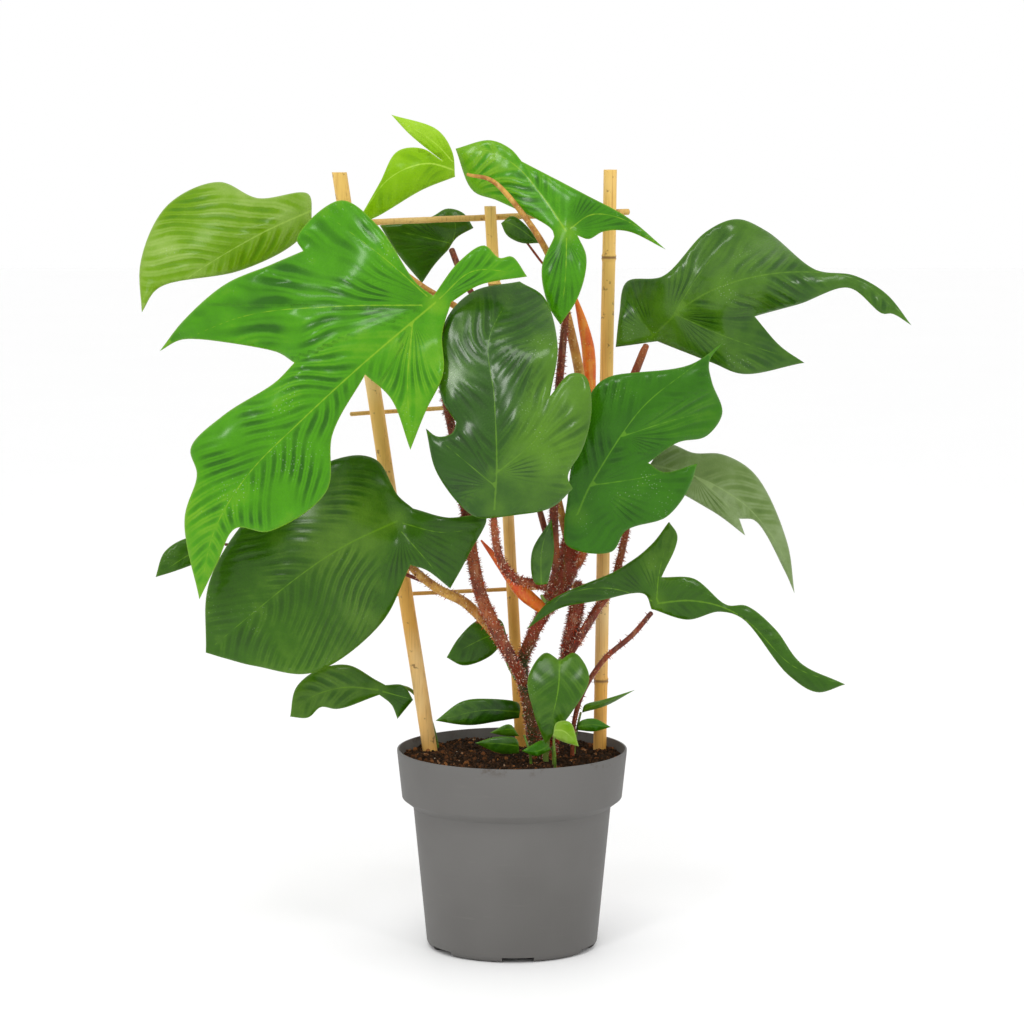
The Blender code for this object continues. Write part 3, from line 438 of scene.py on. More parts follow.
        "slot": "leaf_mature", "look": "mature", "at": (8, -24, 183), "fold": (0.20, 0.20),
        "veins": [[(0, 0, 0), (-12, -6, 3), (-26, -10, 1)]],
        "margin": [[(-10, 7), (-26, 1)], [(-12, -3), (-2, -4)]]},
    "leaf_ground_low": {
        "slot": "leaf_dark", "look": "dark", "at": (12, -34, 172), "fold": (0.20, 0.20),
        "veins": [[(0, 0, 0), (-20, -8, 4), (-42, -14, 6)]],
        "margin": [[(-8, 7), (-24, 10), (-42, 6)], [(-22, -4), (-6, -5)]]},
    "leaf_ground_tuft": {
        "slot": "leaf_young", "look": "deep", "at": (32, -40, 176), "fold": (0.20, 0.20),
        "veins": [[(0, 0, 0), (-10, -6, -5), (-24, -10, -4)]],
        "margin": [[(-6, 3), (-16, 0), (-24, -4)], [(-12, -9), (0, -5)]]},
    "leaf_ground_bright": {
        "slot": "leaf_young", "look": "fresh", "at": (33, -60, 191), "fold": (0.10, 0.10),
        "veins": [[(0, 0, 0), (10, -4, -1), (21, -8, -12)]],
        "margin": [[(3, 6), (14, 7), (21, -12)], [(8, -9), (0, -6)]]},
    "leaf_ground_right": {
        "slot": "leaf_young", "look": "deep", "at": (54, 4, 182), "fold": (0.10, 0.10),
        "veins": [[(0, 0, 0), (12, 4, 1), (28, 8, -2)]],
        "margin": [[(2, 4), (14, 6), (28, -2)], [(14, -5), (0, -3)]]},
    "leaf_thin_right": {
        "slot": "leaf_mature", "look": "mature", "at": (58, 6, 196), "fold": (0.20, 0.20),
        "veins": [[(0, 0, 0), (18, 4, 5), (44, 8, 15)]],
        "margin": [[(2, 4), (18, 8), (44, 15)], [(20, 2), (0, -3)]]},
    "leaf_upright_dark": {
        "slot": "leaf_dark", "look": "dark", "at": (24, -43, 300), "fold": (0.20, 0.20),
        "veins": [[(0, 0, 0), (0, -3, 35), (8, -6, 62)]],
        "margin": [[(-5, 8), (-8, 34), (8, 62)], [(10, 34), (5, 8)]]},
    "leaf_far_left": {
        "slot": "leaf_mature", "look": "mature", "at": (-238, -20, 336), "fold": (0.12, 0.12),
        "veins": [[(0, 0, 0), (-24, -6, -6), (-52, -12, -24)]],
        "margin": [[(-9, 7), (-27, 7), (-45, -4), (-52, -24)], [(-38, -20), (-6, -9)]]},
}

# How a blade is made, in mm unless a note says otherwise. "Size" is the size of the lumps of a noise, "Reach"
# is how far something spreads, and a pair is where something starts to show and how much further it is whole.
bladeBuild = {
    # mesh: step of the outline, of the points within it and along the veins, and the room kept round a vein
    "edgeStep": 2.4, "grid": 2.9, "veinStep": 1.7, "veinClear": 1.5, "ribStep": 1.0, "ribEdge": 1.0,
    "rowShare": 0.866, "gridClear": 0.55, "thickness": 0.6,
    # the bend: how loosely the plate holds to its pins, and how close to a vein no margin pin is set
    "softness": 60.0, "anchorGap": 4.0,
    # veins: width of the midrib, the other veins' share of it, and how much wider they start
    "lineStep": 0.8, "veinWidth": 0.9, "lobeVein": 0.7, "veinStart": 1.15, "loneBorder": 40.0,
    "laneSoft": 3.0,
    # pleats: height, spacing, lean and sweep off the midrib, degrees between them in a lobe, drift, mix
    "pleat": 0.55, "pleatSpacing": 14.0, "pleatLean": 1.15, "pleatSweep": 0.010, "pleatTurn": 8.0,
    "pleatDrift": 0.8, "driftSize": 38.0, "varySize": 24.0, "varyMean": 0.65, "varySwing": 1.5,
    "varyMost": 1.3, "calmBorder": (0.0, 8.0), "calmEdge": (0.0, 7.0), "calmVein": (0.0, 4.0),
    "calmStalk": (6.0, 20.0), "reliefStalk": (30.0, 30.0),
    # surface: rise between veins, wavy and rolled edge, and the width of leaf from which they are full size
    "quilt": 2.6, "quiltReach": 13.0, "edgeWave": 1.6, "waveSize": 16.0, "waveReach": 9.0, "edgeRoll": 1.6,
    "rollReach": 3.0, "fullWidth": 110.0,
}

# colours of each kind of leaf, the gloss of its face, and how strongly painted shade darkens its pleat folds
leafLooks = {
    "bright": {"deep": (0.018, 0.110, 0.001), "body": (0.058, 0.260, 0.001), "light": (0.230, 0.440, 0.020),
               "vein": (0.220, 0.410, 0.015), "under": (0.120, 0.300, 0.030), "rough": 0.30, "pleatShading": 0.42,
               "gloss": 0.30},
    "mature": {"deep": (0.008, 0.036, 0.001), "body": (0.029, 0.100, 0.001), "light": (0.120, 0.250, 0.018),
               "vein": (0.110, 0.250, 0.008), "under": (0.090, 0.190, 0.030), "rough": 0.30, "pleatShading": 0.26,
               "gloss": 0.36},
    "dark": {"deep": (0.004, 0.022, 0.001), "body": (0.017, 0.072, 0.001), "light": (0.090, 0.220, 0.008),
             "vein": (0.090, 0.210, 0.008), "under": (0.070, 0.150, 0.025), "rough": 0.28, "pleatShading": 0.24,
             "gloss": 0.50},
    "deep": {"deep": (0.008, 0.060, 0.001), "body": (0.028, 0.140, 0.001), "light": (0.100, 0.260, 0.010),
             "vein": (0.100, 0.270, 0.010), "under": (0.080, 0.190, 0.020), "rough": 0.30, "pleatShading": 0.24,
             "gloss": 0.28},
    "fresh": {"deep": (0.050, 0.165, 0.001), "body": (0.135, 0.280, 0.002), "light": (0.350, 0.480, 0.130),
              "vein": (0.300, 0.470, 0.070), "under": (0.300, 0.430, 0.130), "rough": 0.36, "pleatShading": 0.30,
              "gloss": 0.22},
    "young": {"deep": (0.090, 0.240, 0.001), "body": (0.190, 0.400, 0.002), "light": (0.400, 0.640, 0.050),
              "vein": (0.400, 0.620, 0.070), "under": (0.300, 0.500, 0.030), "rough": 0.36, "pleatShading": 0.26,
              "gloss": 0.12},
    "pale": {"deep": (0.030, 0.075, 0.006), "body": (0.120, 0.190, 0.050), "light": (0.330, 0.410, 0.230),
             "vein": (0.220, 0.310, 0.110), "under": (0.200, 0.280, 0.120), "rough": 0.34, "pleatShading": 0.40,
             "gloss": 0.26},
}


# patterns that all the leaves share: lumps per metre, and from where to where a mask rises; the edge mask
# paints a highlight along the margin
leafPattern = {"drift": 11.0, "mottle": 90.0, "specks": 420.0, "dust": 22.0, "net": 330.0, "grain": 210.0,
               "onVein": (1.3, 0.4), "onNeck": (13.0, 3.0), "edgeHighlight": (1.4, 0.1), "inSpeck": (0.10, 0.24),
               "dusty": (0.56, 0.70), "dustColour": (0.50, 0.58, 0.42), "relief": 0.0008}


def leafFinish(name, look):
    # "level" picks a green by the lobe's painted light and shade, by drift and by pleat, with painted shade in
    # the pleat folds, and the veins, neck, a painted highlight along the edge, back and dust go over it
    finish = Finish("leaf_" + name)
    pattern = leafPattern
    spot = finish.place()
    vein = finish.reads("veinNear")                          # 0 on a main vein, 1 and more beside it
    edge = finish.reads("fromEdge")
    under = finish.reads("underside")
    turns = finish.reads("pleatPhase")
    fold = (0.5 - turns.wave() * 0.5) ** 3.0 * finish.reads("pleatShare")
    fine = (0.5 - (turns * 3.0 + 0.5).wave() * 0.5) ** 2.0 * finish.reads("pleatShare")
    drift = finish.clouds(spot, pattern["drift"], 3.0, 0.6)
    mottle = finish.clouds(spot, pattern["mottle"], 4.0, 0.65)
    # painted light and shade per lobe, standing in for how the light falls on each lobe
    level = finish.reads("laneTone") + (drift - 0.5) * 1.1 + (mottle - 0.5) * 0.30
    # painted shade: the folds of the pleats are darkened in colour, as if shadowed in the creases
    level = level + (0.25 - fold - fine * 0.3) * look["pleatShading"]
    stops = [(0.0, look["deep"]), (0.5, look["body"]), (1.0, look["light"])]
    tone = finish.add("ShaderNodeValToRGB", {"stops": stops}, {0: level})
    tone = finish.blend(vein.ramp(*pattern["onVein"]) * 0.75, tone, look["vein"])
    tone = finish.blend(finish.reads("fromStalk").ramp(*pattern["onNeck"]) * 0.30, tone, look["vein"])
    # painted highlight: the green lightens towards the margin, standing in for light caught on the rolled
    # edges
    tone = finish.blend(edge.ramp(*pattern["edgeHighlight"]) * 0.45, tone, look["light"])
    tone = finish.blend(under * 0.9, tone, look["under"])

    specks = finish.cells(spot, pattern["specks"]).ramp(*pattern["inSpeck"])   # 0 inside a dried water speck
    dusty = (1.0 - specks) * finish.clouds(spot, pattern["dust"], 2.0).ramp(*pattern["dusty"])
    tone = finish.blend(dusty * 0.35, tone, pattern["dustColour"])
    rough = look["rough"] + dusty * 0.25 + under * 0.20 + mottle.ramp(0.3, 0.8) * 0.10
    net = finish.cells(spot, pattern["net"], "DISTANCE_TO_EDGE").ramp(0.0, 0.16)
    grain = finish.clouds(spot, pattern["grain"], 3.0, 0.6)
    relief = net * 0.22 + grain * 0.60 + mottle * 0.25 - fold * 1.3 - fine * 0.3
    finish.height(relief, pattern["relief"], 0.60)
    return finish.set(Base_Color=tone, Roughness=rough, Coat_Weight=look["gloss"], Coat_Roughness=0.18,
                      Specular_IOR_Level=0.16, Specular_Tint=(0.60, 1.0, 0.35))


def padEnds(points):
    # the points with one more past each end, straight on, for a Catmull-Rom line through all of them
    points = [np.array(point, dtype=float) for point in points]
    return [2 * points[0] - points[1]] + points + [2 * points[-1] - points[-2]]


def smoothLine(points, step):
    # points at about this step along a smooth line through the given ones (Catmull-Rom)
    padded = padEnds(points)
    line = []
    for before, start, end, after in zip(padded, padded[1:], padded[2:], padded[3:]):
        count = max(2, int(np.linalg.norm((end - start)[:3]) / step))
        for t in np.linspace(0.0, 1.0, count, endpoint=False):
            square = (2 * before - 5 * start + 4 * end - after) * t ** 2
            cube = (3 * start - before - 3 * end + after) * t ** 3
            line.append(0.5 * (2 * start + (end - before) * t + (square + cube)))
    line.append(padded[-2])
    return np.array(line)


def cornered(points, counts):
    # one stretch of margin: a centripetal Catmull-Rom line, which keeps the corners at its two ends
    padded = padEnds(points)
    line = []
    for p0, p1, p2, p3 in zip(padded, padded[1:], padded[2:], padded[3:]):
        k1 = max(math.sqrt(np.linalg.norm(p1 - p0)), 0.1)
        k2 = k1 + max(math.sqrt(np.linalg.norm(p2 - p1)), 0.1)
        k3 = k2 + max(math.sqrt(np.linalg.norm(p3 - p2)), 0.1)
        for i in range(counts):
            t = k1 + (k2 - k1) * i / counts
            a1 = p0 * (k1 - t) / k1 + p1 * t / k1
            a2 = p1 * (k2 - t) / (k2 - k1) + p2 * (t - k1) / (k2 - k1)
            a3 = p2 * (k3 - t) / (k3 - k2) + p3 * (t - k2) / (k3 - k2)
            b1 = a1 * (k2 - t) / k2 + a2 * t / k2
            b2 = a2 * (k3 - t) / (k3 - k1) + a3 * (t - k1) / (k3 - k1)
            line.append(b1 * (k2 - t) / (k2 - k1) + b2 * (t - k1) / (k2 - k1))
    line.append(padded[-2])
    return np.array(line)


def runAlong(line):
    # how far along the line each of its points is
    return np.concatenate(([0.0], np.cumsum(np.linalg.norm(np.diff(line, axis=0), axis=1))))


def evenly(line, step):
    # the line cut again at an even step, both ends kept
    lengths = runAlong(line)
    count = max(1, round(lengths[-1] / step))
    spots = np.linspace(0.0, lengths[-1], count + 1)
    return np.column_stack([np.interp(spots, lengths, line[:, k]) for k in range(line.shape[1])])


def outlineOf(margin, step):
    # the whole margin, where each stretch goes on from the corner that the last one ends in
    corner = margin[-1][-1]
    outline = []
    for stretch in margin:
        line = np.array([corner] + stretch, dtype=float)
        if len(stretch) > 1:
            line = cornered([corner] + stretch, 10)
        outline.extend(evenly(line, step)[:-1])
        corner = stretch[-1]
    return np.array(outline)


def insidePoints(outline, spacing):
    # evenly staggered points inside the outline, clear of its edge
    low, high = outline.min(axis=0), outline.max(axis=0)
    rows = np.arange(low[1] + spacing / 2, high[1], spacing * bladeBuild["rowShare"])
    points = []
    for index, z in enumerate(rows):
        across = np.arange(low[0] + spacing * (0.25 + 0.5 * (index % 2)), high[0], spacing)
        points.extend((x, z) for x in across)
    points = np.array(points).reshape(-1, 2)
    points = points[isInside(points, outline)]
    return points[nearest(points, outline)[0] > bladeBuild["gridClear"] * spacing]


def isInside(points, outline):
    # counts how often a ray to the right of each point crosses the outline
    crossings = np.zeros(len(points), dtype=int)
    for (ax, az), (bx, bz) in zip(outline, np.roll(outline, -1, axis=0)):
        if az != bz:
            level = (az > points[:, 1]) != (bz > points[:, 1])
            crossings += level & (ax + (points[:, 1] - az) * (bx - ax) / (bz - az) > points[:, 0])
    return crossings % 2 == 1


def nearest(points, line):
    # the distance from each point to the line's closest sample, and that sample's index
    gaps = np.hypot(points[:, None, 0] - line[None, :, 0], points[:, None, 1] - line[None, :, 1])
    index = gaps.argmin(axis=1)
    return gaps[np.arange(len(points)), index], index


def plate(apart):
    # how far a thin plate gives at this offset from a pin
    square = (apart ** 2).sum(axis=-1)
    return 0.5 * square * np.log(np.maximum(square, 1e-9))


def depthOf(shape, points):
    # bends the blade like a thin plate through its veins and its folded margin
    margin = np.array([spot for stretch in shape["margin"] for spot in stretch], dtype=float)
    pins = []
    closest = np.full(len(margin), np.inf)
    back = np.zeros(len(margin))
    for vein in shape["veins"]:
        line = smoothLine(vein, 3.0)
        pins.append(line[::6][:, (0, 2, 1)])
        gap, index = nearest(margin, line[:, (0, 2)])
        after = np.minimum(index + 1, len(line) - 1)
        course = line[after] - line[np.maximum(after - 2, 0)]
        offset = margin - line[index][:, (0, 2)]
        leftSide = course[:, 0] * offset[:, 1] - course[:, 2] * offset[:, 0] > 0
        fold = np.where(leftSide, shape["fold"][0], shape["fold"][1])
        closer = gap < closest
        back = np.where(closer, line[index, 1] + gap * fold, back)
        closest = np.where(closer, gap, closest)
    pins.append(np.column_stack((margin, back))[closest > bladeBuild["anchorGap"]])
    spots = np.vstack(pins)
    count = len(spots)
    system = np.zeros((count + 3, count + 3))
    between = plate(spots[:, None, :2] - spots[None, :, :2])
    system[:count, :count] = between + np.eye(count) * bladeBuild["softness"]
    system[:count, count] = 1.0
    system[:count, count + 1:] = spots[:, :2]
    system[count:, :count] = system[:count, count:].T
    weights = np.linalg.solve(system, np.concatenate((spots[:, 2], np.zeros(3))))
    bend = plate(points[:, None, :] - spots[None, :, :2]) @ weights[:count]
    return bend + weights[count] + points @ weights[count + 1:]


def veinField(shape, points):
    # for each point: the gap to its nearest vein, that gap in vein widths, the gap left to the next vein, the
    # lobe's painted light and shade, and the phase of the pleats, which run off the midrib and fan out along
    # the other lobes
    build = bladeBuild
    gaps, widths, phases = [], [], []
    for number, vein in enumerate(shape["veins"]):
        line = smoothLine(vein, build["lineStep"])
        run = runAlong(line)
        gap, index = nearest(points, line[:, (0, 2)])
        gaps.append(gap)
        rank = 1.0 if number == 0 else build["lobeVein"]
        widths.append(build["veinWidth"] * rank * (build["veinStart"] - run[index] / run[-1]))
        if number == 0:
            swept = gap * build["pleatLean"] + gap ** 2 * build["pleatSweep"]
            phases.append((run[index] - swept) / build["pleatSpacing"])
        else:
            offset = points - line[0, (0, 2)]
            phases.append(np.degrees(np.arctan2(offset[:, 1], offset[:, 0])) / build["pleatTurn"])
    gaps, widths, phases = np.array(gaps), np.array(widths), np.array(phases)
    own = gaps.argmin(axis=0)
    each = np.arange(len(points))
    inOrder = np.sort(gaps, axis=0)
    border = inOrder[1] - inOrder[0] if len(gaps) > 1 else np.full(len(points), build["loneBorder"])
    # each point's painted light and shade, blended from the tones of the lobes around it
    shares = 1.0 / (gaps + build["laneSoft"]) ** 4
    tones = np.array(shape.get("tones", (0.5,) * len(gaps)))
    lobeShade = (shares * tones[:, None]).sum(axis=0) / shares.sum(axis=0)
    return gaps[own, each], (gaps / widths).min(axis=0), border, lobeShade, phases[own, each]


def rising(values, span):
    # 0 up to the start of the span, 1 from its end on
    start, length = span
    return np.clip((values - start) / length, 0.0, 1.0)


def noiseOver(points, level, size):
    return np.array([noise.noise(Vector((x / size, level, z / size))) for x, z in points])


def bladePoints(shape):
    # the outline, then all the points of the flat blade and the triangles between them
    build = bladeBuild
    outline = outlineOf(shape["margin"], build["edgeStep"])
    ribs = []
    for vein in shape["veins"]:
        ribs.append(evenly(smoothLine(vein, build["ribStep"])[:, (0, 2)], build["veinStep"])[1:-1])
    ribs = np.vstack(ribs)
    ribs = ribs[isInside(ribs, outline) & (nearest(ribs, outline)[0] > build["ribEdge"])]
    spread = insidePoints(outline, build["grid"])
    spread = spread[nearest(spread, ribs)[0] > build["veinClear"]]
    flat = [Vector(point) for point in np.vstack((outline, ribs, spread))]
    filled = geometry.delaunay_2d_cdt(flat, [], [list(range(len(outline)))], 1, 1e-5)
    return outline, np.array([tuple(point) for point in filled[0]]), [tuple(face) for face in filled[2]]


def bladeMesh(name, front, faces):
    # closes the front with a back at the blade's thickness and a strip round the rim
    back = front + np.array((0.0, bladeBuild["thickness"], 0.0))
    count = len(front)
    rim = set()
    for face in faces:
        for a, b in zip(face, face[1:] + face[:1]):
            if (b, a) in rim:
                rim.remove((b, a))
            else:
                rim.add((a, b))
    backFaces = [tuple(i + count for i in reversed(face)) for face in faces]
    rimFaces = [(b, a, a + count, b + count) for a, b in sorted(rim)]
    mesh = bpy.data.meshes.new(name)
    mesh.from_pydata((np.vstack((front, back)) * mm).tolist(), [], faces + backFaces + rimFaces)
    closeMesh(mesh)
    return mesh


def makeBlade(name, shape):
    build = bladeBuild
    outline, points, faces = bladePoints(shape)
    fromVein, veinNear, border, lobeShade, phase = veinField(shape, points)
    fromEdge = nearest(points, outline)[0]
    fromStalk = np.hypot(points[:, 0], points[:, 1])
    atX, _, atZ = shape["at"]

    small = min(1.0, np.ptp(outline[:, 0]) / build["fullWidth"])
    calm = rising(border, build["calmBorder"]) * rising(fromEdge, build["calmEdge"])
    calm *= rising(fromVein, build["calmVein"]) * rising(fromStalk, build["calmStalk"])
    vary = noiseOver(points, atX / build["varySize"], build["varySize"])
    share = calm * np.clip(build["varyMean"] + build["varySwing"] * vary, 0.0, build["varyMost"])
    phase = phase + build["pleatDrift"] * noiseOver(points, atZ / build["driftSize"], build["driftSize"])
    ridge = np.cos(phase * math.tau) * share * rising(fromStalk, build["reliefStalk"])
    quilt = build["quilt"] * (1.0 - np.exp(-fromVein / build["quiltReach"]))
    wave = noiseOver(points, atX, build["waveSize"]) * build["edgeWave"]
    wave *= np.exp(-fromEdge / build["waveReach"])
    roll = build["edgeRoll"] * np.exp(-fromEdge / build["rollReach"])
    depth = depthOf(shape, points) + small * (wave + roll - quilt - build["pleat"] * ridge)

    front = np.column_stack((points[:, 0], depth, points[:, 1])) + np.array(shape["at"], dtype=float)
    mesh = bladeMesh(name, front, faces)
    fields = {"veinNear": veinNear, "fromEdge": fromEdge, "fromStalk": fromStalk, "laneTone": lobeShade,
              "pleatPhase": phase, "pleatShare": share}
    for key, values in fields.items():
        addField(mesh, key, np.concatenate((values, values)))
    addField(mesh, "underside", np.repeat((0.0, 1.0), len(front)))
    return mesh


def addField(mesh, key, values):
    mesh.attributes.new(key, "FLOAT", "POINT").data.foreach_set("value", values.astype(np.float32))


def closeMesh(mesh, weld=0.0):
    # doubles merged where a weld is asked for, faces turned outward, shading smooth
    shell = bmesh.new()
    shell.from_mesh(mesh)
    if weld:
        bmesh.ops.remove_doubles(shell, verts=shell.verts, dist=weld)
    bmesh.ops.recalc_face_normals(shell, faces=shell.faces)
    shell.to_mesh(mesh)
    shell.free()
    mesh.shade_smooth()


def closeLoops(name, shape, loops):
    # joins rings of vertices, each to the next, caps the first and the last, and gives back the mesh
    for loop, above in zip(loops, loops[1:]):
        for i in range(len(loop)):
            j = (i + 1) % len(loop)
            shape.faces.new((loop[i], above[i], above[j], loop[j]))
    shape.faces.new(loops[0])
    shape.faces.new(loops[-1])
    bmesh.ops.recalc_face_normals(shape, faces=shape.faces)
    mesh = bpy.data.meshes.new(name)
    shape.to_mesh(mesh)
    shape.free()
    mesh.shade_smooth()
    return mesh


def addPiece(name, mesh, material, node):
    piece = bpy.data.objects.new(name, mesh)
    bpy.context.scene.collection.objects.link(piece)
    mesh.materials.clear()
    mesh.materials.append(material)
    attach(piece, "root")
    if node:
        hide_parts(node)
    return piece


def makeLeaves():
    finishes = {key: leafFinish(key, look) for key, look in leafLooks.items()}
    for node, shape in leafShapes.items():
        addPiece("look_" + node, makeBlade(node, shape), finishes[shape["look"]], node)
    print("leaves:", len(leafShapes))


# the route of each stem and stalk in mm, and the radius at each of its points
stalkShapes = {
    "main_stem": {
        "slot": "stem_brown",
        "route": [(19, 0, 150), (19, 0, 168), (13, 0, 205), (8, 0, 232), (15, -2, 255), (26, -3, 278),
                  (37, -4, 297), (48, -4, 328), (54, 0, 352)],
        "radius": [6, 5.5, 5, 5.2, 4.8, 5.5, 9, 9.5, 8]},
    "stem_right": {
        "slot": "petiole_red",
        "route": [(33, 8, 150), (34, 8, 166), (37, 6, 195), (43, 0, 226), (46, -5, 250), (51, -8, 272),
                  (54, -12, 290), (54, -14, 304)],
        "radius": [3.6, 3.6, 3.8, 4.4, 5.2, 5.8, 5.2, 3.6]},
    "sheath_low": {
        "slot": "sheath_orange",
        "route": [(23, -15, 285), (8, -20, 299), (-9, -22, 321), (-25, -24, 341)],
        "radius": [5, 6, 3.8, 0.8]},
    "sheath_high": {
        "slot": "sheath_orange",
        "route": [(64, 17, 455), (63, 22, 490), (58, 22, 515), (51, 22, 540)],
        "radius": [5, 5.5, 4, 0.8]},
    "petiole_big_left": {
        "slot": "petiole_red",
        "route": [(10, -10, 222), (0, -20, 242), (-17, -24, 276), (-29, -30, 312), (-42, -48, 400),
                  (-56, -72, 480), (-60, -91, 530)],
        "radius": [4, 4.8, 5.2, 5, 3.8, 3.2, 2.6]},
    "petiole_centre": {
        "slot": "petiole_red",
        "route": [(33, -16, 300), (18, -32, 307), (2, -50, 314), (-10, -80, 335), (-14, -104, 362),
                  (-14, -107, 374)],
        "radius": [3.2, 3.4, 3.4, 3, 2.8, 2]},
    "petiole_centre_right": {
        "slot": "petiole_red",
        "route": [(54, -14, 320), (58, -28, 332), (55, -44, 348), (53, -56, 360)],
        "radius": [3.2, 3.2, 3, 2.6]},
    "petiole_lower_left": {
        "slot": "petiole_tan",
        "route": [(2, -6, 236), (-18, -10, 266), (-38, -14, 288), (-62, -22, 302), (-84, -34, 324),
                  (-91, -40, 350)],
        "radius": [3.4, 4, 4.2, 3.8, 3.2, 2.6]},
    "petiole_new_top": {
        "slot": "petiole_tan",
        "route": [(55, 14, 350), (58, 14, 400), (57, 10, 460), (49, -2, 505), (36, -7, 556), (20, -16, 590),
                  (-12, -20, 630), (-36, -16, 638)],
        "radius": [4.6, 4.8, 4.4, 3.8, 3, 2.6, 2, 1.3]},
    "petiole_top": {
        "slot": "petiole_red",
        "route": [(36, -15, 316), (34, -26, 370), (36, -26, 440), (42, -22, 510), (46, -22, 560),
                  (45, -20, 584)],
        "radius": [3.4, 3.6, 3.4, 3, 2.6, 2.2]},
    "petiole_upper_right": {
        "slot": "petiole_red",
        "route": [(64, 6, 344), (80, 12, 400), (92, 13, 450), (106, 13, 488), (110, 15, 497)],
        "radius": [3.8, 3.8, 3.6, 3.2, 2.6]},
    "petiole_mid_right": {
        "slot": "petiole_red",
        "route": [(49, -13, 248), (57, -15, 262), (68, -12, 280), (84, -5, 306), (96, -8, 360),
                  (102, -20, 401)],
        "radius": [3, 3.4, 3.4, 3, 2.6, 2.2]},
    "petiole_lower_right": {
        "slot": "petiole_red",
        "route": [(50, 2, 152), (50, 2, 166), (52, 1, 190), (60, -2, 215), (76, -5, 240), (98, -9, 260),
                  (114, -16, 280)],
        "radius": [1.9, 1.9, 2, 2.1, 2.2, 2.2, 2]},
    "petiole_upper_left": {
        "slot": "petiole_tan",
        "route": [(45, 10, 340), (30, 20, 400), (5, 16, 480), (-35, 4, 522), (-75, -2, 548),
                  (-120, -4, 582), (-154, -8, 606)],
        "radius": [3.2, 3.2, 3, 2.8, 2.6, 2.4, 2]},
    "petiole_behind_rung": {
        "slot": "petiole_red",
        "route": [(38, 9, 306), (12, 28, 400), (-14, 32, 500), (-40, 48, 550), (-50, 61, 573)],
        "radius": [2.6, 2.6, 2.4, 2.6, 2.6]},
    "petiole_small_yellow": {
        "slot": "stem_brown",
        "route": [(45, 2, 518), (40, 10, 535), (32, 20, 555), (22, 23, 568), (4, 25, 592)],
        "radius": [1.1, 1.1, 1.1, 1, 0.9]},
    "petiole_small_left": {
        "slot": "stem_green",
        "route": [(-62, 44, 150), (-64, 44, 165), (-72, 43, 190), (-86, 36, 208), (-104, 20, 213)],
        "radius": [1.6, 1.6, 1.6, 1.5, 1.2]},
    "petiole_far_left": {
        "slot": "petiole_red",
        "route": [(4, 6, 236), (-2, 12, 243), (-8, 18, 249), (-20, 21, 264), (-42, 14, 288), (-80, 6, 306),
                  (-140, -4, 328), (-234, -18, 337)],
        "radius": [2, 2, 2, 1.9, 1.8, 1.6, 1.5, 1.2]},
    "petiole_heart_front": {
        "slot": "stem_green",
        "route": [(28, -14, 152), (28, -14, 164), (31, -18, 190), (38, -25, 226), (39, -31, 244)],
        "radius": [2.4, 2.4, 2.2, 1.8, 1.4]},
    "petiole_small_by_stem": {
        "slot": "stem_green",
        "route": [(3, 2, 222), (-4, 6, 236), (-6, 11, 250)],
        "radius": [1.3, 1.2, 1.1]},
    "petiole_upright_dark": {
        "slot": "stem_green",
        "route": [(32, -15, 288), (27, -30, 292), (24, -41, 298)],
        "radius": [1.6, 1.5, 1.2]},
    "petiole_ground_left": {
        "slot": "stem_green",
        "route": [(13, 7, 181), (12, 10, 186), (9, 13, 190)],
        "radius": [1.2, 1.2, 1]},
    "petiole_ground_small": {
        "slot": "stem_green",
        "route": [(16, -28, 151), (15, -30, 164), (13, -29, 172), (10, -25, 180)],
        "radius": [1.1, 1.1, 1, 0.9]},
    "petiole_ground_tuft": {
        "slot": "stem_green",
        "route": [(34, -36, 151), (34, -37, 164), (33, -38, 173)],
        "radius": [1.2, 1.2, 1]},
    "petiole_ground_bright": {
        "slot": "stem_green",
        "route": [(35, -52, 151), (35, -54, 166), (34, -57, 179), (34, -58, 187)],
        "radius": [1.1, 1.1, 1, 0.9]},
    "petiole_ground_right": {
        "slot": "stem_green",
        "route": [(52, 10, 151), (52, 9, 166), (54, 8, 180), (57, 9, 193)],
        "radius": [1.1, 1.1, 1, 0.9]},
}

# sides and step (mm) of the tubes, their rounded ends (rings, radians, share of the radius), and their knobs
stalkBuild = {"sides": 14, "step": 2.0, "domeRings": 4, "domeTurn": 1.5, "domeReach": 0.6, "knobScale": 160.0,
              "knobShare": 0.35, "seedStep": 3.7}

# colours of each kind of stalk, the height in metres above which it reddens, and how knobbly it is
stalkLooks = {
    "stem_brown": {"dark": (0.022, 0.034, 0.002), "body": (0.060, 0.055, 0.004),
                   "light": (0.180, 0.170, 0.025), "flush": (0.260, 0.026, 0.005),
                   "redFrom": 0.235, "rough": 0.50, "knobs": 0.9},
    "petiole_red": {"dark": (0.075, 0.010, 0.003), "body": (0.210, 0.030, 0.006),
                    "light": (0.480, 0.230, 0.100), "flush": (0.360, 0.090, 0.014),
                    "redFrom": 0.9, "rough": 0.48, "knobs": 0.5},
    "petiole_tan": {"dark": (0.300, 0.110, 0.014), "body": (0.620, 0.340, 0.060),
                    "light": (0.860, 0.620, 0.240), "flush": (0.480, 0.170, 0.024),
                    "redFrom": 0.9, "rough": 0.45, "knobs": 0.25},
    "stem_green": {"dark": (0.050, 0.110, 0.008), "body": (0.130, 0.240, 0.020),
                   "light": (0.260, 0.400, 0.060), "flush": (0.180, 0.200, 0.040),
                   "redFrom": 0.9, "rough": 0.42, "knobs": 0.2},
    "sheath_orange": {"dark": (0.640, 0.090, 0.006), "body": (0.820, 0.240, 0.012),
                      "light": (0.780, 0.480, 0.090), "flush": (0.620, 0.060, 0.010),
                      "redFrom": 0.9, "rough": 0.40, "knobs": 0.3},
}


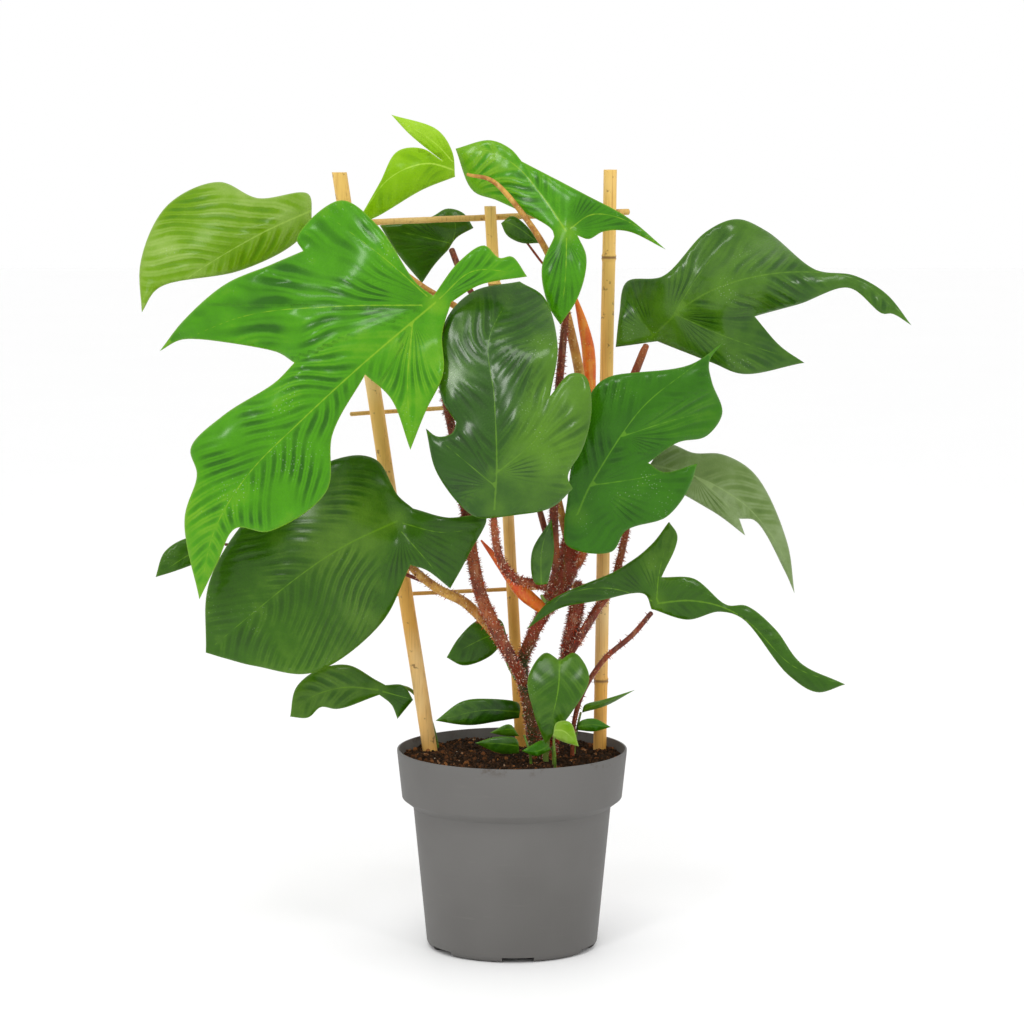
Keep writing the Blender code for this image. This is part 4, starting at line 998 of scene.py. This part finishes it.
def stalkFinish(name, look):
    # blotches, a red blush, warts, streaks along the stalk and leaf scars round it
    finish = Finish("stalk_" + name)
    spot = finish.place()
    along = finish.reads("alongStalk")
    blotch = finish.clouds(spot, 55.0, 4.0, 0.65)
    tone = finish.blend(blotch.ramp(0.35, 0.65), look["dark"], look["body"])
    flush = finish.clouds(spot, 17.0, 2.0)
    crown = finish.above(spot).ramp(look["redFrom"], look["redFrom"] + 0.03)
    tone = finish.blend((flush.ramp(0.50, 0.68) * 0.7).most(crown * 0.85), tone, look["flush"])
    warts = finish.cells(spot, 330.0)
    tone = finish.blend(warts.ramp(0.26, 0.10) * 0.60, tone, look["light"])
    streak = finish.clouds(finish.place((260.0, 260.0, 22.0)), 1.0, 2.0)
    tone = finish.blend(streak.ramp(0.5, 0.75) * 0.35, tone, look["light"])
    rings = ((along / 0.017).fract() - 0.5).size().ramp(0.47, 0.5)            # a leaf scar every 17 mm
    tone = finish.blend(rings * 0.5, tone, look["dark"])
    finish.height(streak * 0.5 + warts.ramp(0.35, 0.1) * 0.8 + blotch, 0.0010, 0.6)
    return finish.set(Base_Color=tone, Roughness=look["rough"] + blotch * 0.15, Specular_IOR_Level=0.4)


def geometryTree(name, inputs):
    # a geometry node tree with a geometry in and out and the named inputs, given back with its input wires
    tree = bpy.data.node_groups.new(name, "GeometryNodeTree")
    tree.interface.new_socket("Geometry", in_out="INPUT", socket_type="NodeSocketGeometry")
    tree.interface.new_socket("Geometry", in_out="OUTPUT", socket_type="NodeSocketGeometry")
    for label, (kind, value) in inputs.items():
        entry = tree.interface.new_socket(label, in_out="INPUT", socket_type="NodeSocket" + kind)
        if value is not None:
            entry.default_value = value
    nodes = Nodes(tree)
    start = tree.nodes.new("NodeGroupInput")
    wires = {entry.name: Wire(tree, entry) for entry in start.outputs if entry.name}
    return tree, nodes, wires


def closeTree(tree, nodes, geometryWire, materialWire):
    whole = nodes.add("GeometryNodeRealizeInstances", {}, {0: geometryWire})
    dressed = nodes.add("GeometryNodeSetMaterial", {}, {0: whole, "Material": materialWire})
    tree.links.new(dressed.socket, tree.nodes.new("NodeGroupOutput").inputs[0])
    return tree


def grow(base, tree, values, name):
    # runs a node tree on a mesh and gives back the plain mesh that it makes
    holder = bpy.data.objects.new(name + "Base", base)
    bpy.context.scene.collection.objects.link(holder)
    modifier = holder.modifiers.new("nodes", "NODES")
    modifier.node_group = tree
    for entry in tree.interface.items_tree:
        if entry.in_out == "INPUT" and entry.name in values:
            modifier[entry.identifier] = values[entry.name]
    graph = bpy.context.evaluated_depsgraph_get()
    mesh = bpy.data.meshes.new_from_object(holder.evaluated_get(graph), depsgraph=graph)
    mesh.name = name
    bpy.data.objects.remove(holder, do_unlink=True)
    return mesh


def tubeTree():
    # a round tube along a route whose points carry their own thickness, a little knobbly
    inputs = {"Sides": ("Int", 12), "Knobs": ("Float", 0.0), "Seed": ("Float", 0.0),
              "Material": ("Material", None)}
    tree, nodes, wires = geometryTree("tubeAlongRoute", inputs)
    route = nodes.add("GeometryNodeMeshToCurve", {}, {"Mesh": wires["Geometry"]})
    run = nodes.add("GeometryNodeSplineParameter", {}, {}, "Length")
    marked = nodes.add("GeometryNodeStoreNamedAttribute", {"data_type": "FLOAT", "domain": "POINT"},
                       {"Geometry": route, "Name": "alongStalk", "Value": run})
    ring = nodes.add("GeometryNodeCurvePrimitiveCircle", {}, {"Resolution": wires["Sides"], "Radius": 1.0})
    thickness = nodes.add("GeometryNodeInputNamedAttribute", {"data_type": "FLOAT"}, {"Name": "thickness"})
    tube = nodes.add("GeometryNodeCurveToMesh", {},
                     {"Curve": marked, "Profile Curve": ring, "Scale": thickness, "Fill Caps": True})
    lumps = nodes.add("ShaderNodeTexNoise", {"noise_dimensions": "4D"},
                      {"W": wires["Seed"], "Scale": stalkBuild["knobScale"]})
    swell = (lumps - 0.5) * wires["Knobs"] * thickness * stalkBuild["knobShare"]
    push = nodes.add("ShaderNodeVectorMath", {"operation": "SCALE"},
                     {0: nodes.add("GeometryNodeInputNormal"), "Scale": swell})
    knobbly = nodes.add("GeometryNodeSetPosition", {}, {"Geometry": tube, "Offset": push})
    return closeTree(tree, nodes, knobbly, wires["Material"])


def routeMesh(name, line):
    # a chain of edges through rows of x, y, z, radius in mm, with a small dome added at each end
    rings = stalkBuild["domeRings"]
    domes = []
    for end, inward in ((line[0], line[1]), (line[-1], line[-2])):
        course = (end[:3] - inward[:3]) / np.linalg.norm(end[:3] - inward[:3])
        dome = []
        for k in range(1, rings + 1):
            angle = stalkBuild["domeTurn"] * k / rings
            spot = end[:3] + course * end[3] * stalkBuild["domeReach"] * math.sin(angle)
            dome.append((*spot, end[3] * math.cos(angle)))
        domes.append(dome)
    rows = np.vstack((domes[0][::-1], line, domes[1])) * mm
    mesh = bpy.data.meshes.new(name)
    mesh.from_pydata(rows[:, :3].tolist(), [(i, i + 1) for i in range(len(rows) - 1)], [])
    addField(mesh, "thickness", rows[:, 3])
    return mesh


def tubeAlong(name, line, sides, knobs, seed, tree, material):
    values = {"Sides": sides, "Knobs": knobs, "Seed": seed, "Material": material}
    mesh = grow(routeMesh(name, line), tree, values, name)
    closeMesh(mesh)
    return mesh


# short scaly bristles on the stems and red stalks, in metres and radians
bristleBuild = {"perSquareMetre": 260000.0, "length": 0.0026, "width": 0.00042, "lean": 0.7,
                "shortest": 0.45, "longest": 1.2, "tipShare": 0.15}
# bristle colours: dark and red, and a pale one that is a painted highlight for light glinting on the bristles
bristleLook = {"dark": (0.120, 0.008, 0.002), "red": (0.480, 0.050, 0.010), "pale": (0.900, 0.740, 0.560)}
# how thick they stand on each stalk that has them, as a share of that density
bristled = {"main_stem": 1.3, "stem_right": 1.6, "petiole_big_left": 0.9, "petiole_centre": 0.9,
            "petiole_centre_right": 0.9, "petiole_mid_right": 0.9, "petiole_lower_right": 0.3,
            "petiole_top": 0.5, "petiole_lower_left": 0.3}


def scatterOn(tree, wires):
    # points spread over the base mesh, and the turns that stand a piece upright on each
    scatter = tree.nodes.new("GeometryNodeDistributePointsOnFaces")
    for key, wire in (("Mesh", "Geometry"), ("Density", "Density"), ("Seed", "Seed")):
        feed(tree, scatter.inputs[key], wires[wire])
    return Wire(tree, scatter.outputs["Points"]), Wire(tree, scatter.outputs["Rotation"])


def between(nodes, low, high, seed):
    # a random value for each point
    sockets = {2: low, 3: high, "Seed": seed}
    return nodes.add("FunctionNodeRandomValue", {"data_type": "FLOAT"}, sockets, 1)


def bristleTree():
    inputs = {"Density": ("Float", 1000.0), "Length": ("Float", 0.002), "Width": ("Float", 0.0004),
              "Lean": ("Float", 0.5), "Seed": ("Int", 1), "Material": ("Material", None)}
    tree, nodes, wires = geometryTree("bristles", inputs)
    points, upright = scatterOn(tree, wires)
    spike = nodes.add("GeometryNodeMeshCone", {"fill_type": "TRIANGLE_FAN"},
                      {"Vertices": 4, "Side Segments": 2,
                       "Radius Top": wires["Width"] * bristleBuild["tipShare"],
                       "Radius Bottom": wires["Width"], "Depth": wires["Length"]})
    tilt = nodes.add("FunctionNodeRandomValue", {"data_type": "FLOAT_VECTOR"},
                     {0: (-1.0, -1.0, 0.0), 1: (1.0, 1.0, 6.3), "Seed": 5})
    lean = nodes.add("ShaderNodeVectorMath", {"operation": "SCALE"}, {0: tilt, "Scale": wires["Lean"]})
    turned = nodes.add("FunctionNodeRotateRotation", {"rotation_space": "LOCAL"},
                       {0: upright, 1: lean})
    tall = between(nodes, bristleBuild["shortest"], bristleBuild["longest"], 9)
    placed = nodes.add("GeometryNodeInstanceOnPoints", {},
                       {"Points": points, "Instance": spike, "Rotation": turned, "Scale": tall})
    return closeTree(tree, nodes, placed, wires["Material"])


def bristleFinish(look):
    finish = Finish("redBristles")
    spot = finish.place()
    tone = finish.blend(finish.clouds(spot, 300.0, 2.0).ramp(0.35, 0.65), look["dark"], look["red"])
    # pale patches painted over the bristles: painted highlights
    tone = finish.blend(finish.clouds(spot, 420.0, 1.0).ramp(0.52, 0.62) * 0.8, tone, look["pale"])
    return finish.set(Base_Color=tone, Roughness=0.45, Specular_IOR_Level=0.3)


def makeStalks(tree):
    finishes = {key: stalkFinish(key, look) for key, look in stalkLooks.items()}
    hairTree = bristleTree()
    hair = bristleFinish(bristleLook)
    for index, (node, shape) in enumerate(stalkShapes.items()):
        rows = [(*point, radius) for point, radius in zip(shape["route"], shape["radius"])]
        line = evenly(smoothLine(rows, 1.0), stalkBuild["step"])
        skin, knobs = finishes[shape["slot"]], stalkLooks[shape["slot"]]["knobs"]
        seed = index * stalkBuild["seedStep"]
        mesh = tubeAlong("look_" + node, line, stalkBuild["sides"], knobs, seed, tree, skin)
        if node in bristled:
            values = {"Density": bristleBuild["perSquareMetre"] * bristled[node],
                      "Length": bristleBuild["length"], "Width": bristleBuild["width"],
                      "Lean": bristleBuild["lean"], "Seed": index, "Material": hair}
            spikes = grow(mesh.copy(), hairTree, values, "bristles_" + node)
            addPiece("bristles_" + node, spikes, hair, None)
        addPiece("look_" + node, mesh, skin, node)
    print("stalks and stems:", len(stalkShapes), "with bristles:", len(bristled))


# foot and top of each cane and the heights of its rings, and the ends of each rod as (x, z), in mm
canes = {
    "cane_left": {"foot": (-49, 27, 30), "top": (-142, 40, 638), "radius": 6.2, "rings": (120, 330, 520)},
    "cane_middle": {"foot": (15, 50, 30), "top": (-18, 45, 610), "radius": 4.8, "rings": (150, 360, 545)},
    "cane_right": {"foot": (73, 37, 132), "top": (81, 45, 640), "radius": 5.5, "rings": (215, 400, 568)},
}
rungs = {
    "rung_top": {"ends": ((-152, 595), (96, 605)), "radius": 2.6},
    "rung_middle": {"ends": ((-134, 437), (94, 452)), "radius": 1.8},
    "rung_bottom": {"ends": ((-99, 285), (90, 294)), "radius": 1.7},
}
bambooLook = {"pale": (0.900, 0.700, 0.360), "body": (0.800, 0.510, 0.130), "low": (0.720, 0.370, 0.065),
              "ring": (0.200, 0.100, 0.030), "streak": (0.420, 0.200, 0.045), "cut": (0.860, 0.740, 0.520),
              "shade": (0.100, 0.060, 0.030)}
# a cane's sides and step, the crooks between its rings, and its hollow top as (height, share of radius, cut)
caneBuild = {"sides": 24, "step": 6.0, "topBand": 1.2, "swayPerMm": 0.012, "sway": 0.35, "swell": 0.75,
             "swellAt": 1.2, "swellReach": 1.1, "ringReach": 1.3,
             "aroundRing": (-4.0, -2.2, -1.2, -0.4, 0.4, 1.4, 2.6, 4.5),
             "hollow": [(0.1, 0.93, 1.0), (0.1, 0.52, 1.0), (-6.0, 0.46, 0.3), (-6.2, 0.05, 0.1)]}


def bambooFinish(name, look, shade):
    finish = Finish(name)
    spot = finish.place()
    tone = finish.blend(finish.above(spot).ramp(0.20, 0.56), look["low"], look["body"])
    tone = finish.blend(finish.clouds(spot, 9.0, 3.0).ramp(0.42, 0.70) * 0.7, tone, look["pale"])
    fibre = finish.clouds(finish.place((700.0, 700.0, 9.0)), 1.0, 3.0, 0.6)
    tone = finish.blend(fibre.ramp(0.52, 0.75) * 0.65, tone, look["streak"])
    spots = finish.clouds(spot, 140.0, 2.0, 0.7)
    tone = finish.blend(spots.ramp(0.63, 0.74) * 0.8, tone, look["ring"])
    ring = finish.reads("nodeRing")
    tone = finish.blend(ring.ramp(0.1, 0.9) * 0.85, tone, look["ring"])
    tone = finish.blend(finish.reads("cutEnd"), tone, look["cut"])
    tone = finish.blend(shade, tone, look["shade"])
    finish.height(fibre + spots * 0.4, 0.0006, 0.5)
    return finish.set(Base_Color=tone, Roughness=0.42 + fibre * 0.2, Specular_IOR_Level=0.35)


def canePoint(spec, height):
    # the middle of the cane at this height
    foot, top = Vector(spec["foot"]), Vector(spec["top"])
    return foot.lerp(top, (height - foot.z) / (top.z - foot.z))


def makeCane(name, spec, material):
    # a hollow-topped cane with a low double ring at each node, a little crooked between them
    build = caneBuild
    low, high, radius = spec["foot"][2], spec["top"][2], spec["radius"]
    stations = list(np.arange(low, high, build["step"])) + [high - build["topBand"], high]
    for ring in spec["rings"]:
        stations += [ring + shift for shift in build["aroundRing"]]
    profile = [(height, 1.0, 0.0) for height in sorted(stations) if low <= height <= high]
    profile += [(high + shift, share, cut) for shift, share, cut in build["hollow"]]
    shape = bmesh.new()
    ringLayer = shape.verts.layers.float.new("nodeRing")
    cutLayer = shape.verts.layers.float.new("cutEnd")
    loops = []
    for height, share, cut in profile:
        near = min(abs(height - ring) for ring in spec["rings"])
        swell = 0.0
        if share == 1.0:
            swell = build["swell"] * math.exp(-((near - build["swellAt"]) / build["swellReach"]) ** 2)
        sway = noise.noise(Vector((height * build["swayPerMm"], radius, 0.0))) * build["sway"]
        centre = canePoint(spec, height) + Vector((sway, 0.0, 0.0))
        loop = []
        for i in range(build["sides"]):
            angle = math.tau * i / build["sides"]
            ray = Vector((math.cos(angle), math.sin(angle), 0.0))
            vert = shape.verts.new((centre + ray * (radius * share + swell)) * mm)
            vert[ringLayer] = math.exp(-(near / build["ringReach"]) ** 2)
            vert[cutLayer] = cut
            loop.append(vert)
        loops.append(loop)
    mesh = closeLoops(name, shape, loops)
    mesh.set_sharp_from_angle(angle=math.radians(50.0))
    addPiece("look_" + name, mesh, material, name)


def makeTrellis(tree):
    caneSkin = bambooFinish("caneSkin", bambooLook, 0.0)
    rungSkin = bambooFinish("rungSkin", bambooLook, 0.25)
    for name, spec in canes.items():
        makeCane(name, spec, caneSkin)
    for index, (name, spec) in enumerate(rungs.items()):
        (leftX, leftZ), (rightX, rightZ) = spec["ends"]
        low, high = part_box(name)
        depth = (low[1] + high[1]) / 2 / mm
        line = []
        for t in np.linspace(0.0, 1.0, 60):
            wobble = 0.10 * spec["radius"] * noise.noise(Vector((t * 9.0, index * 5.0, 0.0)))
            across, height = leftX + (rightX - leftX) * t, leftZ + (rightZ - leftZ) * t + wobble
            line.append((across, depth, height, spec["radius"]))
        mesh = tubeAlong("look_" + name, np.array(line), 12, 0.6, index * 5.0, tree, rungSkin)
        addPiece("look_" + name, mesh, rungSkin, name)
    print("trellis: canes", len(canes), "rungs", len(rungs))


# The plug of soil in mm: its height, the rings over its top, its gap to the wall, its outline under the top as
# (radius, height), and the lumps on it as (rise, seed, lumps per mm). "crumbs", "chips" and "grit" are counts.
soilLook = {"top": 157.0, "crumbs": 4200, "chips": 420, "grit": 110, "sides": 160, "rings": 46, "wallGap": 0.8,
            "shoulderIn": 0.6, "shoulderDown": 6.0, "under": [(88.0, 127.0), (79.0, 117.0), (70.0, 14.0)],
            "baseRadius": 66.0, "baseLift": 0.2, "bedDepth": 4.0,
            "lumps": [(2.5, 7.0, 0.045), (1.3, 3.0, 0.22), (0.6, 1.0, 0.6)]}
soilTones = {"dark": (0.008, 0.004, 0.001), "body": (0.034, 0.016, 0.004), "bark": (0.120, 0.055, 0.022),
             "shadow": (0.015, 0.009, 0.005)}
crumbTones = [(0.0, (0.012, 0.007, 0.004)), (0.45, (0.050, 0.024, 0.010)), (0.75, (0.150, 0.055, 0.018)),
              (0.90, (0.300, 0.120, 0.035)), (1.0, (0.500, 0.440, 0.340))]


def soilFinish(tones):
    finish = Finish("pottingMix")
    spot = finish.place()
    lumps = finish.clouds(spot, 120.0, 5.0, 0.7)
    fine = finish.clouds(spot, 480.0, 3.0, 0.7)
    tone = finish.blend(lumps.ramp(0.35, 0.7), tones["dark"], tones["body"])
    tone = finish.blend(fine.ramp(0.58, 0.72) * 0.6, tone, tones["bark"])
    finish.height(lumps + fine * 0.5, 0.004, 1.0)
    return finish.set(Base_Color=tone, Roughness=0.95, Specular_IOR_Level=0.10)


def crumbFinish(tones):
    finish = Finish("soilCrumbs")
    spot = finish.place()
    tone = finish.add("ShaderNodeValToRGB", {"stops": crumbTones}, {0: finish.reads("crumbShade")})
    grain = finish.clouds(spot, 700.0, 3.0, 0.7)
    tone = finish.blend(grain.ramp(0.4, 0.7) * 0.5, tone, tones["shadow"])
    finish.height(grain, 0.0008, 0.8)
    return finish.set(Base_Color=tone, Roughness=0.9, Specular_IOR_Level=0.10)


def crumbTree():
    # uneven lumps lying at every angle, each with a shade of its own
    inputs = {"Density": ("Float", 1000.0), "Smallest": ("Float", 0.001), "Largest": ("Float", 0.003),
              "Flatness": ("Float", 0.5), "Shade From": ("Float", 0.0), "Shade To": ("Float", 1.0),
              "Seed": ("Int", 1), "Material": ("Material", None)}
    tree, nodes, wires = geometryTree("crumbs", inputs)
    points, _ = scatterOn(tree, wires)
    ball = nodes.add("GeometryNodeMeshIcoSphere", {}, {"Radius": 1.0, "Subdivisions": 2})
    lump = nodes.add("ShaderNodeTexNoise", {}, {"Scale": 1.1, "Detail": 1.0}, 1)
    push = nodes.add("ShaderNodeVectorMath", {"operation": "SUBTRACT"}, {0: lump, 1: (0.5, 0.5, 0.5)})
    rough = nodes.add("GeometryNodeSetPosition", {}, {"Geometry": ball, "Offset": push})
    spin = nodes.add("FunctionNodeRandomValue", {"data_type": "FLOAT_VECTOR"},
                     {0: (0.0, 0.0, 0.0), 1: (6.3, 6.3, 6.3), "Seed": 3})
    size = between(nodes, wires["Smallest"], wires["Largest"], 4)
    flat = nodes.add("ShaderNodeCombineXYZ", {}, {0: size, 1: size * 0.8, 2: size * wires["Flatness"]})
    placed = nodes.add("GeometryNodeInstanceOnPoints", {},
                       {"Points": points, "Instance": rough, "Rotation": spin, "Scale": flat})
    shade = between(nodes, wires["Shade From"], wires["Shade To"], 6)
    stored = nodes.add("GeometryNodeStoreNamedAttribute", {"data_type": "FLOAT", "domain": "INSTANCE"},
                       {"Geometry": placed, "Name": "crumbShade", "Value": shade})
    return closeTree(tree, nodes, stored, wires["Material"])


def soilPlug(look):
    # lumpy on top, smooth where the pot hides it
    low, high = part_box("soil")
    rimRadius = high[0] / mm - look["wallGap"]
    top, rings = look["top"], look["rings"]
    rows = [(rimRadius * k / rings, top) for k in range(1, rings + 1)]
    rows += [(rimRadius - look["shoulderIn"], top - look["shoulderDown"])] + look["under"]
    rows += [(look["baseRadius"], low[2] / mm + look["baseLift"])]
    shape = bmesh.new()
    loops = []
    for radius, height in rows:
        loop = []
        for i in range(look["sides"]):
            angle = math.tau * i / look["sides"]
            x, y = radius * math.cos(angle), radius * math.sin(angle)
            lift = 0.0
            if height == top:
                for rise, seed, perMm in look["lumps"]:
                    lift += rise * noise.noise(Vector((x, y, seed)) * perMm)
            loop.append(shape.verts.new(Vector((x, y, height + lift)) * mm))
        loops.append(loop)
    return closeLoops("soilPlug", shape, loops)


def makeSoil(look):
    mesh = soilPlug(look)
    bed = bmesh.new()
    bed.from_mesh(mesh)
    floor = (look["top"] - look["bedDepth"]) * mm
    hidden = [face for face in bed.faces if face.calc_center_median().z < floor]
    bmesh.ops.delete(bed, geom=hidden, context="FACES")
    area = sum(face.calc_area() for face in bed.faces)
    bedMesh = bpy.data.meshes.new("soilBed")
    bed.to_mesh(bedMesh)
    bed.free()

    tree = crumbTree()
    skin = crumbFinish(soilTones)
    sorts = {
        "crumbs": {"Density": look["crumbs"] / area, "Smallest": 0.0005, "Largest": 0.0017, "Flatness": 0.8,
                   "Shade From": 0.0, "Shade To": 0.62, "Seed": 11},
        "barkChips": {"Density": look["chips"] / area, "Smallest": 0.0012, "Largest": 0.0030, "Flatness": 0.35,
                      "Shade From": 0.3, "Shade To": 0.92, "Seed": 12},
        "paleGrit": {"Density": look["grit"] / area, "Smallest": 0.0005, "Largest": 0.0011, "Flatness": 0.9,
                     "Shade From": 0.9, "Shade To": 1.0, "Seed": 13},
    }
    for name, values in sorts.items():
        values["Material"] = skin
        addPiece(name, grow(bedMesh.copy(), tree, values, name), skin, None)
    addPiece("look_soil", mesh, soilFinish(soilTones), "soil")
    print("soil: crumbs", look["crumbs"], "chips", look["chips"], "grit", look["grit"])


# the pot's sizes in mm, and the angle in degrees of its first foot notch and first drain hole
potShape = {"foot": 71.0, "footRound": 6.0, "footInner": 60.0, "pad": 18.0, "floorUnder": 4.0, "floorTop": 6.0,
            "step": 82.0, "stepAt": 118.0, "collar": 91.0, "collarAt": 125.0, "rim": 95.0, "height": 165.0,
            "wall": 1.6, "sides": 144, "bendSteps": 8, "rail": 1.0,
            "drains": 8, "drainRadius": 5.0, "drainCircle": 42.0, "firstDrain": 22.5,
            "notches": 6, "notchWidth": 26.0, "notchHeight": 4.5, "notchPast": 5.0, "firstNotch": 274.0}
potLook = {"body": (0.142, 0.138, 0.132), "dark": (0.116, 0.112, 0.106), "dust": (0.190, 0.180, 0.168),
           "earth": (0.060, 0.035, 0.020), "earthFrom": 0.157, "earthTo": 0.165}


def potProfile(shape):
    # half of the pot's section as (radius, height), from the middle of the underside round to the inside
    # floor, with each edge eased by a few tenths of a millimetre
    wall, height = shape["wall"], shape["height"]
    bend = []
    for k in range(shape["bendSteps"] + 1):
        angle = math.radians(-90.0 + 90.0 * k / shape["bendSteps"])
        bend.append((shape["foot"] - shape["footRound"] * (1.0 - math.cos(angle)),
                     shape["footRound"] * (1.0 + math.sin(angle))))
    under = [(0.0, 0.0), (shape["pad"], 0.0), (shape["pad"], shape["floorUnder"]),
             (shape["footInner"], shape["floorUnder"]), (shape["footInner"], 0.0)]
    step = [(shape["step"] - 0.5, shape["stepAt"] - 3.0), (shape["step"] - 0.2, shape["stepAt"] - 0.8),
            (shape["step"], shape["stepAt"]), (shape["collar"] - 0.5, shape["collarAt"] - 0.5),
            (shape["collar"], shape["collarAt"] + 0.3)]
    lip = [(shape["rim"], height - 2.0), (shape["rim"], height - 0.6), (shape["rim"] - 0.2, height - 0.15),
           (shape["rim"] - 0.6, height), (shape["rim"] - wall, height)]
    inside = [(shape["collar"] - wall, shape["collarAt"] + 1.0), (shape["step"] - wall, shape["stepAt"] + 0.5),
              (shape["step"] - wall - 0.5, shape["stepAt"] - 3.0),
              (shape["foot"] - wall, shape["floorTop"] + shape["footRound"]),
              (shape["foot"] - wall - 3.0, shape["floorTop"]), (0.0, shape["floorTop"])]
    return under + bend + step + lip + inside


def potTree():
    # sweeps the section round a circle, then cuts the drain holes and the notches of the foot
    inputs = {"Rail": ("Float", 0.001), "Sides": ("Int", 96), "Drains": ("Int", 8),
              "Drain Radius": ("Float", 0.005), "Drain Circle": ("Float", 0.04), "First Drain": ("Float", 0.0),
              "Notches": ("Int", 6),
              "Notch Circle": ("Float", 0.066), "Notch Size": ("Vector", (0.02, 0.026, 0.009)),
              "First Notch": ("Float", 0.0), "Material": ("Material", None)}
    tree, nodes, wires = geometryTree("turnedPot", inputs)
    section = nodes.add("GeometryNodeMeshToCurve", {}, {"Mesh": wires["Geometry"]})
    rail = nodes.add("GeometryNodeCurvePrimitiveCircle", {},
                     {"Resolution": wires["Sides"], "Radius": wires["Rail"]})
    swept = nodes.add("GeometryNodeCurveToMesh", {}, {"Curve": rail, "Profile Curve": section})
    body = nodes.add("GeometryNodeMergeByDistance", {}, {"Geometry": swept, "Distance": 0.00001})
    peg = nodes.add("GeometryNodeMeshCylinder", {},
                    {"Vertices": 28, "Radius": wires["Drain Radius"], "Depth": 0.02})
    block = nodes.add("GeometryNodeMeshCube", {}, {"Size": wires["Notch Size"]})
    cutters = []
    for shape, count, radius, first in ((peg, "Drains", "Drain Circle", "First Drain"),
                                        (block, "Notches", "Notch Circle", "First Notch")):
        circle = nodes.add("GeometryNodeMeshCircle", {},
                           {"Vertices": wires[count], "Radius": wires[radius]})
        spin = nodes.add("GeometryNodeInputIndex") * math.tau / wires[count]
        turned = nodes.add("ShaderNodeCombineXYZ", {}, {2: spin})
        placed = nodes.add("GeometryNodeInstanceOnPoints", {},
                           {"Points": circle, "Instance": shape, "Rotation": turned})
        start = nodes.add("ShaderNodeCombineXYZ", {}, {2: wires[first]})
        whole = nodes.add("GeometryNodeRealizeInstances", {}, {0: placed})
        cutters.append(nodes.add("GeometryNodeTransform", {}, {"Geometry": whole, "Rotation": start}))
    cut = tree.nodes.new("GeometryNodeMeshBoolean")
    cut.operation = "DIFFERENCE"
    cut.solver = "EXACT"
    feed(tree, cut.inputs["Mesh 1"], body)
    for cutter in cutters:
        tree.links.new(cutter.socket, cut.inputs["Mesh 2"])
    return closeTree(tree, nodes, Wire(tree, cut.outputs["Mesh"]), wires["Material"])


def potFinish(look):
    finish = Finish("greyPotPlastic")
    spot = finish.place()
    broad = finish.clouds(spot, 6.0, 3.0)
    tone = finish.blend(broad.ramp(0.35, 0.7), look["body"], look["dark"])
    scuffs = finish.clouds(finish.place((20.0, 20.0, 260.0)), 1.0, 4.0, 0.65)
    tone = finish.blend(scuffs.ramp(0.60, 0.78) * 0.25, tone, look["dust"])
    grain = finish.clouds(spot, 900.0, 2.0)
    smudge = finish.clouds(spot, 60.0, 5.0, 0.7)
    earth = finish.above(spot).ramp(look["earthFrom"], look["earthTo"]) * smudge.ramp(0.55, 0.68)
    tone = finish.blend(earth * 0.6, tone, look["earth"])
    finish.height(grain * 0.6 + scuffs * 0.4, 0.0004, 0.35)
    return finish.set(Base_Color=tone, Roughness=0.52 + smudge * 0.12, Specular_IOR_Level=0.22)


def makePot(shape, look):
    rail, past = shape["rail"], shape["notchPast"]
    section = potProfile(shape)
    mesh = bpy.data.meshes.new("potSection")
    mesh.from_pydata([((radius - rail) * mm, -height * mm, 0.0) for radius, height in section],
                     [(k, k + 1) for k in range(len(section) - 1)], [])
    reach = shape["foot"] - shape["footInner"] + 2 * past
    skin = potFinish(look)
    values = {"Rail": rail * mm, "Sides": shape["sides"], "Drains": shape["drains"],
              "Drain Radius": shape["drainRadius"] * mm, "Drain Circle": shape["drainCircle"] * mm,
              "First Drain": math.radians(shape["firstDrain"]), "Notches": shape["notches"],
              "Notch Circle": (shape["footInner"] - past + reach / 2) * mm,
              "Notch Size": (reach * mm, shape["notchWidth"] * mm, 2 * shape["notchHeight"] * mm),
              "First Notch": math.radians(shape["firstNotch"]), "Material": skin}
    pot = grow(mesh, potTree(), values, "turnedPot")
    closeMesh(pot, 0.000001)
    pot.set_sharp_from_angle(angle=math.radians(35.0))
    addPiece("look_pot", pot, skin, "pot")
    print("pot: faces", len(pot.polygons))


makeStage(stageLook)
tubes = tubeTree()
makeLeaves()
makeStalks(tubes)
makeTrellis(tubes)
makeSoil(soilLook)
makePot(potShape, potLook)
